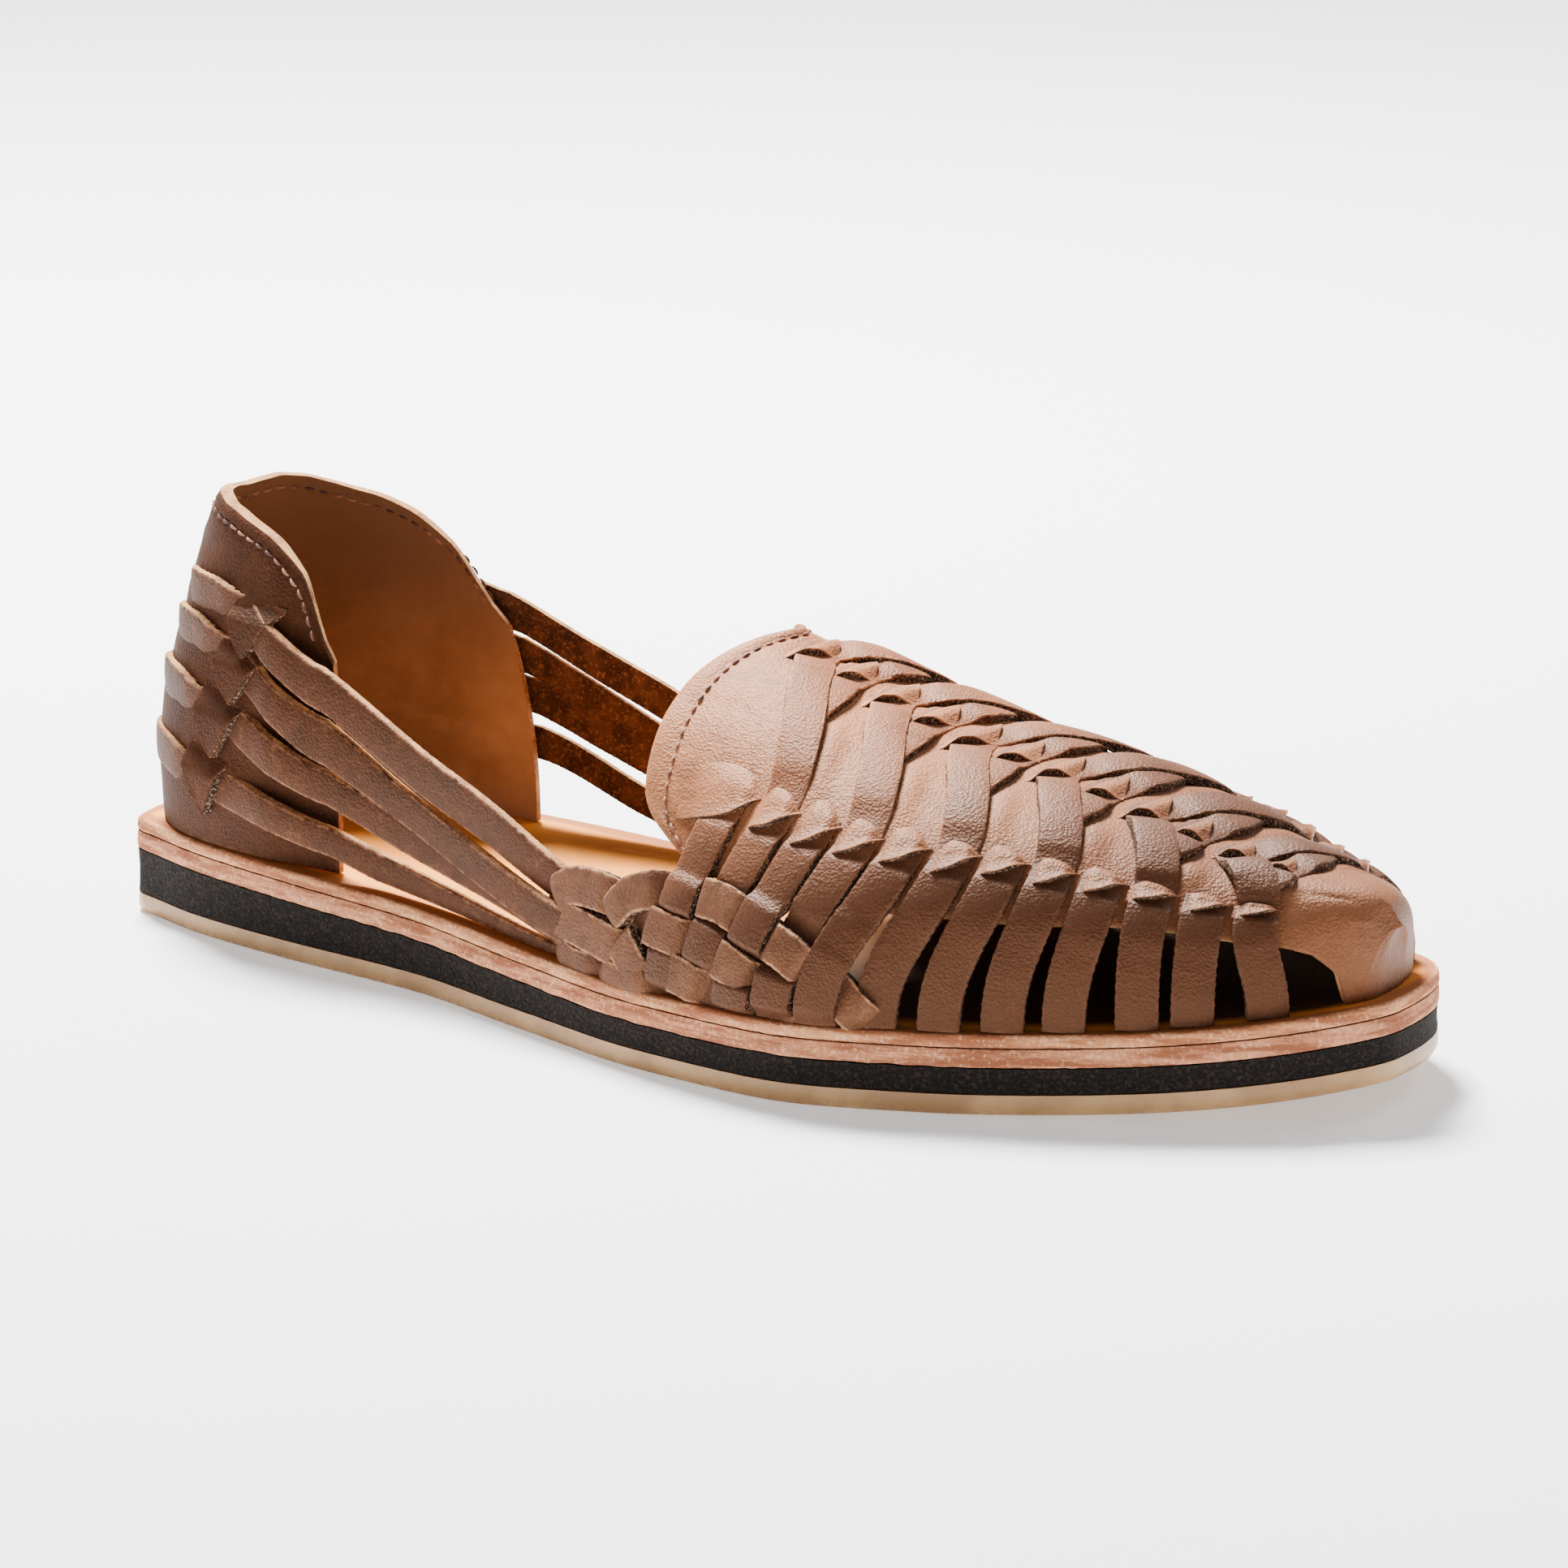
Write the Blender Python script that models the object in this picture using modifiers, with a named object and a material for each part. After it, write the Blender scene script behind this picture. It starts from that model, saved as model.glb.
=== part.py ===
"""Woven leather huarache sandal, right foot, standing on its sole.

Metres, +Z up, toe towards +X, inner side of the foot towards +Y. The origin is on the floor under the
middle of the sole. Every piece is worked out from the sizes and the short tables below.
"""

from collections import namedtuple

import bmesh
import bpy
import numpy as np

# Driving sizes of the whole shoe
SOLE_LENGTH = 0.300
BALL_WIDTH = 0.107
INSTEP_HEIGHT = 0.0615
COUNTER_HEIGHT = 0.0705
TOE_SPRING = 0.0066
SPRING_START = 0.70

# Layers of the sole
GUM_THICKNESS = 0.0044
FOAM_BALL_THICKNESS = 0.0053
FOAM_HEEL_RISE = 0.0043
WEDGE_END = 0.55
LEATHER_THICKNESS = 0.0039
INSOLE_THICKNESS = 0.0027
GUM_EDGE_ROUND = 0.0012
INSOLE_EDGE_ROUND = 0.0006
FIT_GAP = 0.0003

# Upper
WELT_LEDGE = 0.0045
WALL = 0.0022
STRAP_THICKNESS = 0.0016
STRAP_WIDTH = 0.0085
SKIRT = 0.0012
THROAT_BULGE = 0.0120
CREST_SHIFT = 0.0075

# Heel counter
COUNTER_OUTER_REACH = 0.0610
COUNTER_INNER_REACH = 0.0690
COUNTER_BACK_LEAN = 0.0125
COUNTER_TOP_HALF_WIDTH = 0.0205
COUNTER_FRONT_LEAN = 0.0125
COUNTER_SQUARENESS = 2.7
COUNTER_WALL = 0.0030
COUNTER_BACK_HOLLOW = 0.0020
# Width of each wrapped strap as a share of COUNTER_HEIGHT, so that the four rows keep their gaps
WRAPPED_STRAP_SHARE = 0.1205

SOLE_STATIONS = 32
STRAP_STATIONS = 15
STRAP_COUNT = 12

OUTER = -1
INNER = 1

SoleRow = namedtuple("SoleRow", "along outer inner ledge")
# Half widths from the heel-to-toe line as shares of BALL_WIDTH, and the bare rim as a share of WELT_LEDGE
SOLE_ROWS = (
    SoleRow(0.000, 0.000, 0.000, 0.9),
    SoleRow(0.012, 0.190, 0.145, 0.9),
    SoleRow(0.040, 0.226, 0.222, 0.9),
    SoleRow(0.090, 0.276, 0.281, 1.0),
    SoleRow(0.180, 0.326, 0.322, 1.0),
    SoleRow(0.300, 0.373, 0.343, 1.0),
    SoleRow(0.420, 0.474, 0.329, 1.0),
    SoleRow(0.540, 0.567, 0.356, 0.7),
    SoleRow(0.640, 0.594, 0.419, 0.4),
    SoleRow(0.740, 0.515, 0.485, 0.4),
    SoleRow(0.830, 0.413, 0.481, 0.5),
    SoleRow(0.910, 0.302, 0.408, 0.8),
    SoleRow(0.960, 0.192, 0.316, 1.0),
    SoleRow(0.988, 0.092, 0.196, 1.0),
    SoleRow(1.000, 0.000, 0.000, 1.0),
)

WeaveRow = namedtuple("WeaveRow", "strap base side crest height roundness shift tile")
# Where each cross strap meets the sole, the outer tile row and the spine, as shares of SOLE_LENGTH;
# the height of the spine over the insole as a share of INSTEP_HEIGHT, the power of the section,
# the spine's place across as a share of CREST_SHIFT, and how far up the girth the outer tile row lies
WEAVE_ROWS = (
    WeaveRow(-1.5, 0.460, 0.470, 0.469, 1.050, 1.95, 1.16, 0.400),
    WeaveRow(0.0, 0.514, 0.534, 0.528, 1.004, 1.96, 0.97, 0.402),
    WeaveRow(1.0, 0.553, 0.579, 0.552, 0.944, 2.02, 0.65, 0.413),
    WeaveRow(3.0, 0.622, 0.648, 0.615, 0.833, 2.12, 0.53, 0.436),
    WeaveRow(5.0, 0.686, 0.714, 0.681, 0.739, 2.24, 0.39, 0.460),
    WeaveRow(7.0, 0.761, 0.775, 0.748, 0.673, 2.30, 0.20, 0.483),
    WeaveRow(9.0, 0.835, 0.834, 0.816, 0.575, 2.34, 0.07, 0.506),
    WeaveRow(11.0, 0.908, 0.895, 0.883, 0.455, 2.33, 0.00, 0.530),
    WeaveRow(12.0, 0.940, 0.927, 0.917, 0.410, 2.32, 0.04, 0.541),
    WeaveRow(13.0, 0.961, 0.954, 0.944, 0.385, 2.35, 0.32, 0.545),
    WeaveRow(14.0, 0.976, 0.973, 0.967, 0.357, 2.40, 0.65, 0.545),
    WeaveRow(15.0, 0.987, 0.988, 0.983, 0.315, 2.40, 1.00, 0.545),
    WeaveRow(16.0, 0.996, 0.997, 0.993, 0.225, 2.40, 1.31, 0.545),
)

ReliefRow = namedtuple("ReliefRow", "girth leading middle trailing between")
# How far strips stand proud, in strap thicknesses, going up one side from the sole (0) to the spine (1)
# leading and trailing are the first and second strap of a pair, middle lies between them,
# and between lies between one pair and the next
RELIEF_ROWS = (
    ReliefRow(0.00, 1.0, 0.0, 1.0, 0.0),
    ReliefRow(0.32, 1.0, 0.0, 1.0, 0.0),
    ReliefRow(0.40, 1.0, 1.1, 1.0, 1.1),
    ReliefRow(0.48, 1.5, 1.4, 1.5, 1.4),
    ReliefRow(0.58, 1.0, 0.3, 1.2, 0.0),
    ReliefRow(0.72, 1.2, 1.7, 1.2, 0.0),
    ReliefRow(0.85, 1.0, 0.3, 1.2, 0.0),
    ReliefRow(0.93, 1.3, 1.2, 1.3, 1.2),
    ReliefRow(1.00, 1.3, 1.3, 1.3, 1.3),
)

# Rows of the wall from the sole (0) to the spine (1), with the outer tile row at TILE_GIRTH;
# the gaps end at the band's lower edge
GIRTH_LINES = (0.0, 0.02, 0.12, 0.22, 0.27, 0.32, 0.40, 0.48, 0.58, 0.72, 0.85, 0.93, 1.0)
TILE_GIRTH = 0.48
BRAID_TOP = 0.22
THROAT_CORNER = 0.30
BAND_EDGE = 0.32
FIRST_OPEN_STRAP = 5
# Where the toe cap's side opening ends, and the share of the band's height that its corner keeps
CAP_CORNER = 15.0
CORNER_SHARE = 0.2

CounterRow = namedtuple("CounterRow", "around rim")
# The rim's height from the back of the heel (0) to the front edge (1), as shares of COUNTER_HEIGHT
COUNTER_ROWS = (
    CounterRow(0.00, 1.00),
    CounterRow(0.35, 1.01),
    CounterRow(0.60, 0.985),
    CounterRow(0.84, 0.94),
    CounterRow(0.95, 0.85),
    CounterRow(1.00, 0.62),
)
# How far round each side the tab column lies, as shares of the way to the front edge
TAB_REAR = 0.70
TAB_FRONT = 0.82
# Where the free straps start beside the tab column, and the share of their length that lies on the counter
STRAP_START = 0.85
COUNTER_SHARE = 0.20
# Straps that come this near each other are joined
JOIN_WIDTH = 0.0008

SideStrapRow = namedtuple("SideStrapRow", "rear middle front")
# Height of each wrapped strap over the insole, at the tab column, half way and at the braid,
# as shares of COUNTER_HEIGHT
SIDE_STRAP_ROWS = (
    SideStrapRow(0.652, 0.445, 0.255),
    SideStrapRow(0.518, 0.343, 0.220),
    SideStrapRow(0.369, 0.255, 0.188),
    SideStrapRow(0.177, 0.090, 0.038),
)

FinishRow = namedtuple("FinishRow", "red green blue roughness")
FINISHES = {
    "outsole": FinishRow(0.58, 0.42, 0.24, 0.55),
    "foam_midsole": FinishRow(0.030, 0.026, 0.023, 0.90),
    "leather_midsole": FinishRow(0.42, 0.22, 0.13, 0.75),
    "insole": FinishRow(0.68, 0.43, 0.22, 0.60),
    "vamp": FinishRow(0.32, 0.16, 0.10, 0.50),
    "heel_counter": FinishRow(0.24, 0.12, 0.08, 0.55),
    "lateral_side_straps": FinishRow(0.26, 0.13, 0.085, 0.50),
    "medial_side_straps": FinishRow(0.28, 0.13, 0.075, 0.70),
}


def column(rows, name):
    """One named column of a table, as an array."""
    return np.array([getattr(row, name) for row in rows], float)


def smooth(keys, values, at):
    """Cubic curve through a table's rows that never overshoots them."""
    at = np.clip(np.asarray(at, float), keys[0], keys[-1])
    steps = np.diff(keys)
    slopes = np.diff(values) / steps
    tangents = np.zeros(len(keys))
    tangents[0] = slopes[0]
    tangents[-1] = slopes[-1]
    same_way = slopes[:-1] * slopes[1:] > 0
    sums = np.where(same_way, slopes[:-1] + slopes[1:], 1.0)
    tangents[1:-1] = np.where(same_way, 2 * slopes[:-1] * slopes[1:] / sums, 0.0)
    place = np.clip(np.searchsorted(keys, at, side="right") - 1, 0, len(keys) - 2)
    share = (at - keys[place]) / steps[place]
    rise = values[place + 1] - values[place]
    start = tangents[place] * steps[place]
    end = tangents[place + 1] * steps[place]
    return values[place] + share * (start + share * (3 * rise - 2 * start - end + share * (start + end - 2 * rise)))


def round_key(along):
    """Turns a share of the length into an angle, so that the ends of the outline come out round."""
    return np.arccos(np.clip(1 - 2 * np.asarray(along, float), -1, 1))


SIDE_SHIFT = BALL_WIDTH * (column(SOLE_ROWS, "outer").max() - column(SOLE_ROWS, "inner").max()) / 2
SOLE_KEYS = round_key(column(SOLE_ROWS, "along"))
WEAVE_KEYS = column(WEAVE_ROWS, "strap")
RELIEF_KEYS = column(RELIEF_ROWS, "girth")


def outline(side, along, inset=0.0):
    """Plan points of the sole's edge on one side, moved inwards by the inset."""
    name = "outer" if side == OUTER else "inner"
    widths = column(SOLE_ROWS, name)

    def edge(angle):
        length = (0.5 - 0.5 * np.cos(angle) - 0.5) * SOLE_LENGTH
        return np.stack([length, side * BALL_WIDTH * smooth(SOLE_KEYS, widths, angle)], -1)

    angle = round_key(along)
    small = 0.004
    tangent = edge(np.clip(angle + small, 0, np.pi)) - edge(np.clip(angle - small, 0, np.pi))
    tangent /= np.linalg.norm(tangent, axis=-1, keepdims=True)
    inward = np.stack([side * tangent[..., 1], -side * tangent[..., 0]], -1)
    tip = np.isclose(np.sin(angle), 0.0, atol=1e-6)[..., None]
    end_inward = np.stack([np.sign(np.cos(angle)), np.zeros_like(angle)], -1)
    inward = np.where(tip, end_inward, inward)
    return edge(angle) + np.asarray(inset)[..., None] * inward + np.array([0.0, SIDE_SHIFT])


def ledge(along):
    """Width of the bare rim outside the upper."""
    return WELT_LEDGE * smooth(SOLE_KEYS, column(SOLE_ROWS, "ledge"), round_key(along))


def toe_rise(along):
    """How far the sole lifts off the floor."""
    share = np.clip((np.asarray(along, float) - SPRING_START) / (1 - SPRING_START), 0, 1)
    return TOE_SPRING * share**2


def foam_thickness(along):
    """The foam is a slight wedge, thicker under the heel."""
    share = np.clip(1 - np.asarray(along, float) / WEDGE_END, 0, 1)
    return FOAM_BALL_THICKNESS + FOAM_HEEL_RISE * share**2 * (3 - 2 * share)


def level(layers, along):
    """Height of the top of a stack of layers: 0 the floor side, 4 the insole's top."""
    parts = (0.0, GUM_THICKNESS, foam_thickness(along), LEATHER_THICKNESS, INSOLE_THICKNESS)
    return toe_rise(along) + sum(parts[: layers + 1])


def insole_top(place):
    """Height of the insole's top under a plan point."""
    return level(4, np.clip(place[..., 0] / SOLE_LENGTH + 0.5, 0, 1))


def finish(name):
    """The piece's own material."""
    row = FINISHES[name]
    material = bpy.data.materials.new(name)
    material.use_nodes = True
    shader = material.node_tree.nodes["Principled BSDF"]
    shader.inputs["Base Color"].default_value = (row.red, row.green, row.blue, 1.0)
    shader.inputs["Roughness"].default_value = row.roughness
    shader.inputs["Metallic"].default_value = 0.0
    return material


def add_piece(name, points, faces, collection, closed=True):
    """Makes one named object from points and faces; a closed one gets its faces pointing out."""
    mesh = bpy.data.meshes.new(name)
    mesh.from_pydata([tuple(point) for point in points], [], [tuple(face) for face in faces])
    builder = bmesh.new()
    builder.from_mesh(mesh)
    if closed:
        bmesh.ops.recalc_face_normals(builder, faces=builder.faces)
    builder.to_mesh(mesh)
    builder.free()
    mesh.shade_smooth()
    mesh.set_sharp_from_angle(angle=np.radians(35))
    mesh.materials.append(finish(name))
    piece = bpy.data.objects.new(name, mesh)
    collection.objects.link(piece)
    return piece


def make_slab(name, bottom, top, profile, collection):
    """A layer of the sole: rings of the outline from its bottom to its top, closed by strips across.

    profile is a list of pairs: how far the ring is set in, and its height between bottom and top.
    """
    along = 0.5 - 0.5 * np.cos(np.linspace(0, np.pi, SOLE_STATIONS + 1))
    low = level(bottom, along) + (FIT_GAP / 2 if bottom else 0.0)
    high = level(top, along) - (FIT_GAP / 2 if top < 4 else 0.0)
    rings = []
    for inset, share in profile:
        height = low + (high - low) * share
        outer = np.column_stack([outline(OUTER, along, inset), height])
        inner = np.column_stack([outline(INNER, along, inset), height])
        rings.append(np.vstack([outer, inner[-2:0:-1]]))
    count = len(rings[0])
    faces = []
    for ring in range(len(rings) - 1):
        for point in range(count):
            following = (point + 1) % count
            base = ring * count
            faces.append((base + point, base + following, base + count + following, base + count + point))
    for base in (0, (len(rings) - 1) * count):
        for station in range(SOLE_STATIONS):
            left = [station, station + 1]
            right = [(count - station - 1) % count, (count - station) % count]
            corners = [base + number for number in left + right]
            faces.append(tuple(dict.fromkeys(corners)))
    return add_piece(name, np.vstack(rings), faces, collection)


def weave_column(name, strap):
    """One column of the weave table, read at any strap number."""
    return smooth(WEAVE_KEYS, column(WEAVE_ROWS, name), strap)


def vamp_point(side, strap, girth, lift=0.0):
    """A point of the last's surface over the forefoot.

    side is OUTER or INNER, strap counts the cross straps from the throat to the toe, and girth goes
    from the sole (0) over the tile row to the spine (1). Each section is a quarter of a superellipse
    whose ends slide along the shoe, so that straps lean as the tables say.
    """
    strap = np.asarray(strap, float)
    girth = np.asarray(girth, float)
    base_along = weave_column("base", strap)
    crest_along = weave_column("crest", strap)
    side_along = weave_column("side", strap)
    foot = outline(side, base_along, ledge(base_along) + WALL / 4 - lift)
    top = np.stack([(crest_along - 0.5) * SOLE_LENGTH, CREST_SHIFT * weave_column("shift", strap)], -1)
    tile = weave_column("tile", strap)
    above = 1 - (1 - girth) * (1 - tile) / (1 - TILE_GIRTH)
    angle = (1 - np.where(girth < TILE_GIRTH, girth * tile / TILE_GIRTH, above)) * np.pi / 2
    power = 2 / weave_column("roundness", strap)
    out = np.sin(angle) ** power
    up = np.clip(np.cos(angle), 0, 1) ** power
    plan = top + (foot - top) * out[..., None]
    lean = (side_along - (base_along + crest_along) / 2) * SOLE_LENGTH
    plan[..., 0] += lean * np.sin(2 * angle) ** 2
    floor = insole_top(foot) + FIT_GAP
    rise = INSTEP_HEIGHT * weave_column("height", strap)
    return np.concatenate([plan, (floor + (rise + lift) * up)[..., None]], -1)


def strap_roles():
    """Columns of the woven wall: strap number, its role in the pair, and whether it is a strip's edge."""
    half = 0.5 * STRAP_WIDTH / (SOLE_LENGTH * (WEAVE_ROWS[6].base - WEAVE_ROWS[4].base) / 4)
    columns = []
    for number in range(1, STRAP_COUNT + 1):
        role = "leading" if number % 2 else "trailing"
        after = "middle" if number % 2 else "between"
        columns.append((number - half, role))
        columns.append((number + half, role))
        columns.append((number + 0.5, after))
    return columns


def relief(role, girth):
    """Height of the strips over the base leather."""
    return STRAP_THICKNESS * np.interp(girth, RELIEF_KEYS, column(RELIEF_ROWS, role))


def cap_opening(strap, girths):
    """Moves the rows of one column so that the band's lower edge rounds down into the cap's corner."""
    start = STRAP_COUNT + 0.5
    if strap <= start:
        return girths
    if strap <= CAP_CORNER:
        share = max(np.sqrt(1 - ((strap - start) / (CAP_CORNER - start)) ** 2), CORNER_SHARE)
    else:
        share = CORNER_SHARE + (1 - CORNER_SHARE) * (strap - CAP_CORNER) / (WEAVE_ROWS[-1].strap - CAP_CORNER)
    above = 1 - (1 - girths) * (1 - BAND_EDGE * share) / (1 - BAND_EDGE)
    return np.where(girths < BAND_EDGE, girths * share, above)


def make_vamp(collection):
    """The woven vamp: saddle, base leather, cross straps, side braids and toe cap as one wall."""
    rear = [(-1.5, "plain"), (-0.7, "plain"), (0.05, "plain")]
    cap = [(strap, "plain") for strap in (13.2, 14.0, 14.6, CAP_CORNER, 15.5, 16.0)]
    columns = rear + strap_roles() + cap
    straps = np.array([entry[0] for entry in columns])
    half_rows = np.array(GIRTH_LINES)
    sides = np.array([OUTER] * len(half_rows) + [INNER] * (len(half_rows) - 1))
    girths = np.concatenate([half_rows, half_rows[-2::-1]])
    grid = np.zeros((len(straps), len(girths), 3))
    for place, (strap, role) in enumerate(columns):
        lift = np.zeros(len(girths)) if role == "plain" else relief(role, girths)
        lowered = cap_opening(strap, girths)
        for side in (OUTER, INNER):
            here = sides == side
            grid[place, here] = vamp_point(side, np.full(here.sum(), strap), lowered[here])
            raised = vamp_point(side, np.full(here.sum(), strap), lowered[here], 1.0e-3)
            way = raised - grid[place, here]
            way /= np.linalg.norm(way, axis=-1, keepdims=True) + 1e-12
            grid[place, here] += way * lift[here, None]
    throat = 2
    saddle = np.clip((girths - THROAT_CORNER) / (1 - THROAT_CORNER), 0, 1)
    grid[throat, :, 0] -= THROAT_BULGE * np.sin(np.pi * saddle) ** 1.15
    # The last column lies on the floor of the toe, under a short upright skirt
    tip_along = weave_column("base", 16.0)
    spread = np.linspace(-1, 1, len(girths))
    tip_side = np.where(spread < 0, OUTER, INNER)
    for row, (share, side) in enumerate(zip(np.abs(spread), tip_side)):
        along = 1 - (1 - tip_along) * share
        plan = outline(side, along, ledge(along) + WALL / 4)
        grid[-1, row] = (*plan, insole_top(plan) + FIT_GAP)
    for row in (0, len(girths) - 1):
        inner_row = 1 if row == 0 else row - 1
        grid[:, inner_row, :2] = grid[:, row, :2]
        grid[:-1, inner_row, 2] = grid[:-1, row, 2] + SKIRT
    skirt = grid[-1].copy()
    skirt[1:-1, 2] += SKIRT
    skirt[0] = (grid[-2, 0] + grid[-1, 0]) / 2
    skirt[-1] = (grid[-2, -1] + grid[-1, -1]) / 2
    grid = np.concatenate([grid[:-1], skirt[None], grid[-1:]])
    straps = np.append(straps, 16.2)
    keep = kept_cells(straps, girths, columns)
    return wall_from_grid("vamp", grid, keep, WALL, collection)


def kept_cells(straps, girths, columns):
    """Marks the cells of the woven wall that are leather; the rest are its gaps."""
    keep = np.ones((len(straps) - 1, len(girths) - 1), bool)
    roles = [entry[1] for entry in columns]
    for place in range(len(straps) - 1):
        middle = (straps[place] + straps[place + 1]) / 2
        for row in range(len(girths) - 1):
            low = min(girths[row], girths[row + 1])
            ends = roles[place : place + 2]
            in_gap = len(ends) == 2 and ("middle" in ends or "between" in ends)
            if straps[place + 1] <= 0.1:
                keep[place, row] = low < BRAID_TOP
            elif in_gap and low < BAND_EDGE:
                open_to_sole = middle > FIRST_OPEN_STRAP
                keep[place, row] = not (open_to_sole or low >= BRAID_TOP)
            if STRAP_COUNT + 0.4 < middle < CAP_CORNER:
                keep[place, row] = low >= BAND_EDGE
    return keep


def wall_from_grid(name, grid, keep, thickness, collection, flip=False, offset=-1):
    """An open surface of the kept cells that faces out, given its thickness inwards, or outwards."""
    wide = grid.shape[1]
    faces = [
        (place * wide + row, (place + 1) * wide + row, (place + 1) * wide + row + 1, place * wide + row + 1)
        for place, row in np.argwhere(keep)
    ]
    if flip:
        faces = [face[::-1] for face in faces]
    piece = add_piece(name, grid.reshape(-1, 3), faces, collection, closed=False)
    shape = bmesh.new()
    shape.from_mesh(piece.data)
    loose = [point for point in shape.verts if not point.link_faces]
    bmesh.ops.delete(shape, geom=loose, context="VERTS")
    shape.to_mesh(piece.data)
    shape.free()
    solid = piece.modifiers.new("Wall", "SOLIDIFY")
    solid.thickness = thickness
    solid.offset = offset
    solid.use_even_offset = True
    solid.thickness_clamp = 1.0
    return piece


def counter_point(side, around, height, lift=0.0):
    """A point of the heel counter's outer face.

    around goes from the back of the heel (0) to the front edge (1), and height is over the insole.
    Each level is a quarter of a superellipse that narrows and leans forward with height.
    """
    around = np.asarray(around, float)
    share = np.clip(height / COUNTER_HEIGHT, 0, 1.1)
    lean = share**2
    reach = COUNTER_OUTER_REACH if side == OUTER else COUNTER_INNER_REACH
    base_rear = outline(side, np.zeros_like(around), ledge(0.0))[..., 0]
    front_along = 0.5 + (base_rear + reach) / SOLE_LENGTH
    base_half = np.abs(outline(side, front_along, ledge(front_along))[..., 1] - SIDE_SHIFT)
    half = base_half + (COUNTER_TOP_HALF_WIDTH - base_half) * lean + lift
    hollow = COUNTER_BACK_HOLLOW * np.sin(np.pi * np.clip(share * 1.6, 0, 1))
    back = base_rear + COUNTER_BACK_LEAN * lean - hollow - lift
    front = base_rear + reach - COUNTER_FRONT_LEAN * share**2.2
    angle = around * np.pi / 2
    power = 2 / COUNTER_SQUARENESS
    x = front + (back - front) * np.cos(angle) ** power
    y = SIDE_SHIFT + side * half * np.sin(angle) ** power
    plan = np.stack([x, y], -1)
    foot = np.stack([base_rear + reach * (1 - np.cos(angle) ** power), y], -1)
    z = insole_top(foot) + FIT_GAP + height
    return np.concatenate([plan, z[..., None]], -1)


def make_counter(collection):
    """The heel counter: one wall whose tab columns and wrapped straps are raised."""
    step = 0.02
    marks = [0.0, 0.10, 0.20, 0.32, 0.44, 0.56, TAB_REAR - step, TAB_REAR, (TAB_REAR + TAB_FRONT) / 2]
    marks += [TAB_FRONT, TAB_FRONT + step, 0.89, 0.93, 0.97, 1.0]
    around = np.concatenate([-np.array(marks[::-1]), np.array(marks[1:])])
    rim = COUNTER_HEIGHT * smooth(column(COUNTER_ROWS, "around"), column(COUNTER_ROWS, "rim"), np.abs(around))
    half = WRAPPED_STRAP_SHARE * COUNTER_HEIGHT / 2
    lines = [(0.0, 0.0), (SKIRT, 0.0)]
    centres = [row.rear * COUNTER_HEIGHT for row in reversed(SIDE_STRAP_ROWS)]
    for number, centre in enumerate(centres):
        lines += [(centre - half, 1.0), (centre + half, 1.0)]
        if number < len(centres) - 1:
            lines += [((centre + centres[number + 1]) / 2, 0.0)]
    lines += [(centres[-1] + half + step * half, 0.0), (COUNTER_HEIGHT, 0.0)]
    grid = np.zeros((len(around), len(lines), 3))
    for place, way in enumerate(around):
        side = OUTER if way < 0 else INNER
        share = abs(way)
        in_tab = TAB_REAR <= share <= TAB_FRONT
        in_window = share < TAB_REAR - step / 2
        squeeze = min(1.0, (rim[place] - 2 * SKIRT) / (centres[-1] + 2 * half))
        for row, (height, strip) in enumerate(lines):
            height = rim[place] if row == len(lines) - 1 else height * (squeeze if row > 1 else 1.0)
            between = 2 <= row < len(lines) - 2
            lift = STRAP_THICKNESS * strip if in_window else 0.0
            lift = 2 * STRAP_THICKNESS if (in_tab and between) else lift
            grid[place, row] = counter_point(side, share, height, lift)
        grid[place, 1, :2] = grid[place, 0, :2]
    keep = np.ones((len(around) - 1, len(lines) - 1), bool)
    return wall_from_grid("heel_counter", grid, keep, COUNTER_WALL, collection, flip=True)


def side_surface(side, share, height, lift):
    """A point of the last's side between the tab column (0) and the braid (1).

    It follows the counter to its front edge, then sweeps to the rear edge of the braid.
    """
    on_counter = np.clip(share / COUNTER_SHARE, 0, 1)
    around = STRAP_START + (1 - STRAP_START) * on_counter
    near = counter_point(side, around, height, lift)
    edge = counter_point(side, np.ones_like(share), height, lift)
    back = counter_point(side, np.ones_like(share) * 0.96, height, lift)
    way = (edge - back) / np.linalg.norm(edge - back, axis=-1, keepdims=True)
    braid = vamp_point(side, np.full_like(share, WEAVE_ROWS[0].strap), np.full_like(share, BRAID_TOP / 2), lift)
    braid[..., 0] -= 2 * FIT_GAP
    braid[..., 2] = insole_top(braid) + FIT_GAP + height
    free = np.clip((share - COUNTER_SHARE) / (1 - COUNTER_SHARE), 0, 1)[..., None]
    reach = np.linalg.norm(braid - edge, axis=-1, keepdims=True)
    ends = outline(side, np.array([WEAVE_ROWS[0].base - 0.05, WEAVE_ROWS[0].base]))
    last = np.append((ends[1] - ends[0]) / np.linalg.norm(ends[1] - ends[0]), 0.0)
    swept = edge * (1 + 2 * free) * (1 - free) ** 2 + way * reach * free * (1 - free) ** 2
    swept = swept + braid * free**2 * (3 - 2 * free) - last * reach * free**2 * (1 - free)
    return np.where(share[..., None] <= COUNTER_SHARE, near, swept)


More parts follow.
